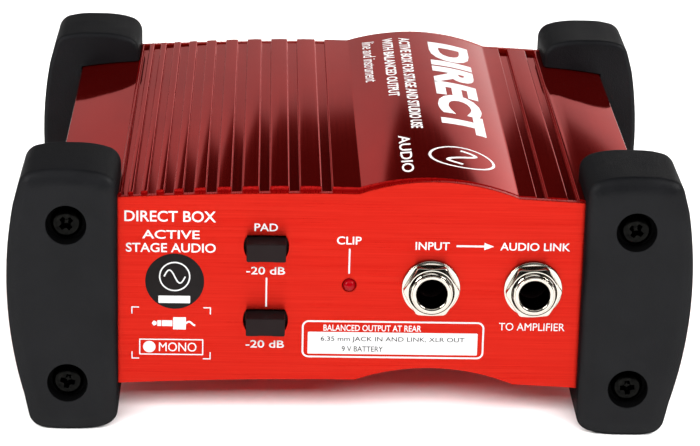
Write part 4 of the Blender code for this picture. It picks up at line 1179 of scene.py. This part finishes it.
def make_rear_print():
    sheet = bmesh.new()
    words = (
        ("LIFT", (-4.0, 33.4), 5.0, 1.8), ("GND", (-4.0, 21.2), 4.8, 1.8),
        ("CAB", (12.0, 33.4), 4.8, 1.8), ("FILTER", (12.0, 21.2), 8.0, 1.8),
        ("POWER", (28.0, 33.4), 8.2, 1.8), ("ON", (41.0, 33.4), 3.0, 1.8),
        ("BALANCED OUTPUT", (-30.0, 49.3), 20.0, 1.8), ("ACTIVE DIRECT BOX", (24.0, 46.4), 30.0, 2.2),
    )
    for row in words:
        add_words(sheet, *row)
    add_line(sheet, mm(-1.0, 42.2), mm(49.0, 42.2), 0.3 * MM)
    lay_print("rear_print", sheet, "white_ink", on_rear)


# Stage, light and camera


def make_floor():
    sheet = bmesh.new()
    sheet.faces.new([sheet.verts.new((x, y, 0)) for x, y in circle((0, 0), 6.0, 96)])
    floor = add_object("floor", as_mesh(sheet, "floor"))
    made, tree, shader = new_material("floor_paint", Roughness=0.9)
    clouds = ranged(tree, grain(tree, (8, 8, 8)))
    shade = blended(tree, clouds, (0.94, 0.94, 0.94), (0.96, 0.96, 0.96))
    tree.links.new(shade, shader.inputs["Base Color"])
    floor.data.materials.append(made)


def make_world():
    """A pale sweep behind the box, brighter low down on its right, and a dark room above it and in front.

    The upper edge of the sweep is level, but it curves down on the right and rises slowly on the left.
    """
    world = bpy.data.worlds.new("studio")
    bpy.context.scene.world = world
    world.use_nodes = True
    tree = world.node_tree
    way = node(tree, "ShaderNodeTexCoord").outputs["Generated"]
    split = node(tree, "ShaderNodeSeparateXYZ")
    tree.links.new(way, split.inputs[0])
    x, y, z = split.outputs
    level = calc(tree, "SQRT", calc(tree, "SUBTRACT", 1.0, calc(tree, "MULTIPLY", z, z)))
    side = calc(tree, "DIVIDE", x, level)
    right = calc(tree, "MINIMUM", calc(tree, "MAXIMUM", side, 0.0), 0.25)
    left = calc(tree, "MINIMUM", side, 0.0)
    edge = calc(tree, "SUBTRACT", z, SWEEP_EDGE)
    edge = calc(tree, "MULTIPLY_ADD", calc(tree, "MULTIPLY", right, right), SWEEP_FALL, edge)
    edge = calc(tree, "MULTIPLY_ADD", left, SWEEP_RISE, edge)
    dark = ranged(tree, edge, 0.0, 1.0, -SWEEP_BLUR, SWEEP_BLUR, "SMOOTHSTEP")
    aside = calc(tree, "ABSOLUTE", side)
    dark = calc(tree, "MULTIPLY", dark, ranged(tree, aside, 1.0, 0.0, 0.5, 0.8, "SMOOTHSTEP"))
    dark = calc(tree, "MAXIMUM", dark, ranged(tree, y, FRONT_DARKNESS, 0.0, -0.4, 0.1))
    low = ranged(tree, z, LOW_RADIANCE, 0.0, 0.16, 0.29)
    low = calc(tree, "MULTIPLY", low, ranged(tree, side, 0.0, 1.0, -0.09, 0.09, "SMOOTHSTEP"))
    low = calc(tree, "MULTIPLY", low, ranged(tree, side, 1.0, 0.0, 0.45, 0.8, "SMOOTHSTEP"))
    pale = calc(tree, "ADD", low, PALE_RADIANCE)
    radiance = calc(tree, "MULTIPLY", pale, ranged(tree, dark, 1.0, DARK_RADIANCE, 0.0, 1.0))
    tree.links.new(radiance, tree.nodes["Background"].inputs["Strength"])
    tree.nodes["Background"].inputs["Color"].default_value = (1.0, 0.98, 0.95, 1)


def add_softbox(name, azimuth, elevation, distance, size, power, mirrored=True):
    """A soft rectangular light. Azimuth 0 is behind the box, at +Y, and 90 is on its right."""
    a, e = math.radians(azimuth), math.radians(elevation)
    way = Vector((math.sin(a) * math.cos(e), math.cos(a) * math.cos(e), math.sin(e)))
    lamp = bpy.data.lights.new(name, "AREA")
    lamp.shape = "RECTANGLE"
    lamp.size, lamp.size_y = size
    lamp.energy = power
    item = add_object(name, lamp)
    item.location = way * distance
    item.rotation_mode = "QUATERNION"
    item.rotation_quaternion = way.to_track_quat("Z", "Y")
    item.visible_camera = False
    item.visible_glossy = mirrored


def make_camera():
    """The camera, above the front panel and a little to its left, turned by a small roll."""
    x, y, level = math.sin(CAMERA_YAW), math.cos(CAMERA_YAW), math.cos(CAMERA_PITCH)
    ahead = Vector((x * level, y * level, -math.sin(CAMERA_PITCH)))
    right = Vector((y, -x, 0))
    up = right.cross(ahead)
    tilted_right = right * math.cos(CAMERA_ROLL) + up * math.sin(CAMERA_ROLL)
    tilted_up = up * math.cos(CAMERA_ROLL) - right * math.sin(CAMERA_ROLL)
    lens_data = bpy.data.cameras.new("camera")
    lens_data.lens = CAMERA_LENS
    lens_data.clip_start, lens_data.clip_end = 0.01, 50
    item = add_object("camera", lens_data)
    turn = Matrix((tilted_right, tilted_up, -ahead)).transposed().to_4x4()
    item.matrix_world = Matrix.Translation(CAMERA_TARGET - ahead * CAMERA_DISTANCE) @ turn
    bpy.context.scene.camera = item


def finish_cad_nodes():
    """The CAD nodes that stay visible get the material of their slot."""
    for name, item in frame["nodes"].items():
        if not item.hide_render:
            item.data.materials.clear()
            item.data.materials.append(MATERIALS[SLOTS[name]])


make_camera()
make_floor()
make_world()
add_softbox("left_box", -114, 35, 1.5, (0.6, 0.6), 13.0)
add_softbox("right_box", 100, 41, 1.5, (0.8, 0.6), 18.0)
add_softbox("front_box", 180, 36, 1.6, (1.8, 0.5), 55.0, mirrored=False)
add_softbox("top_box", 180, 62, 1.5, (1.4, 0.5), 3.0)
make_case()
make_panels()
make_bumpers()
make_bumper_screws()
make_buttons()
make_diodes()
make_jacks()
make_xlr()
make_front_print()
make_dome_print()
make_rear_print()
finish_cad_nodes()
bpy.context.scene.view_settings.view_transform = "Standard"
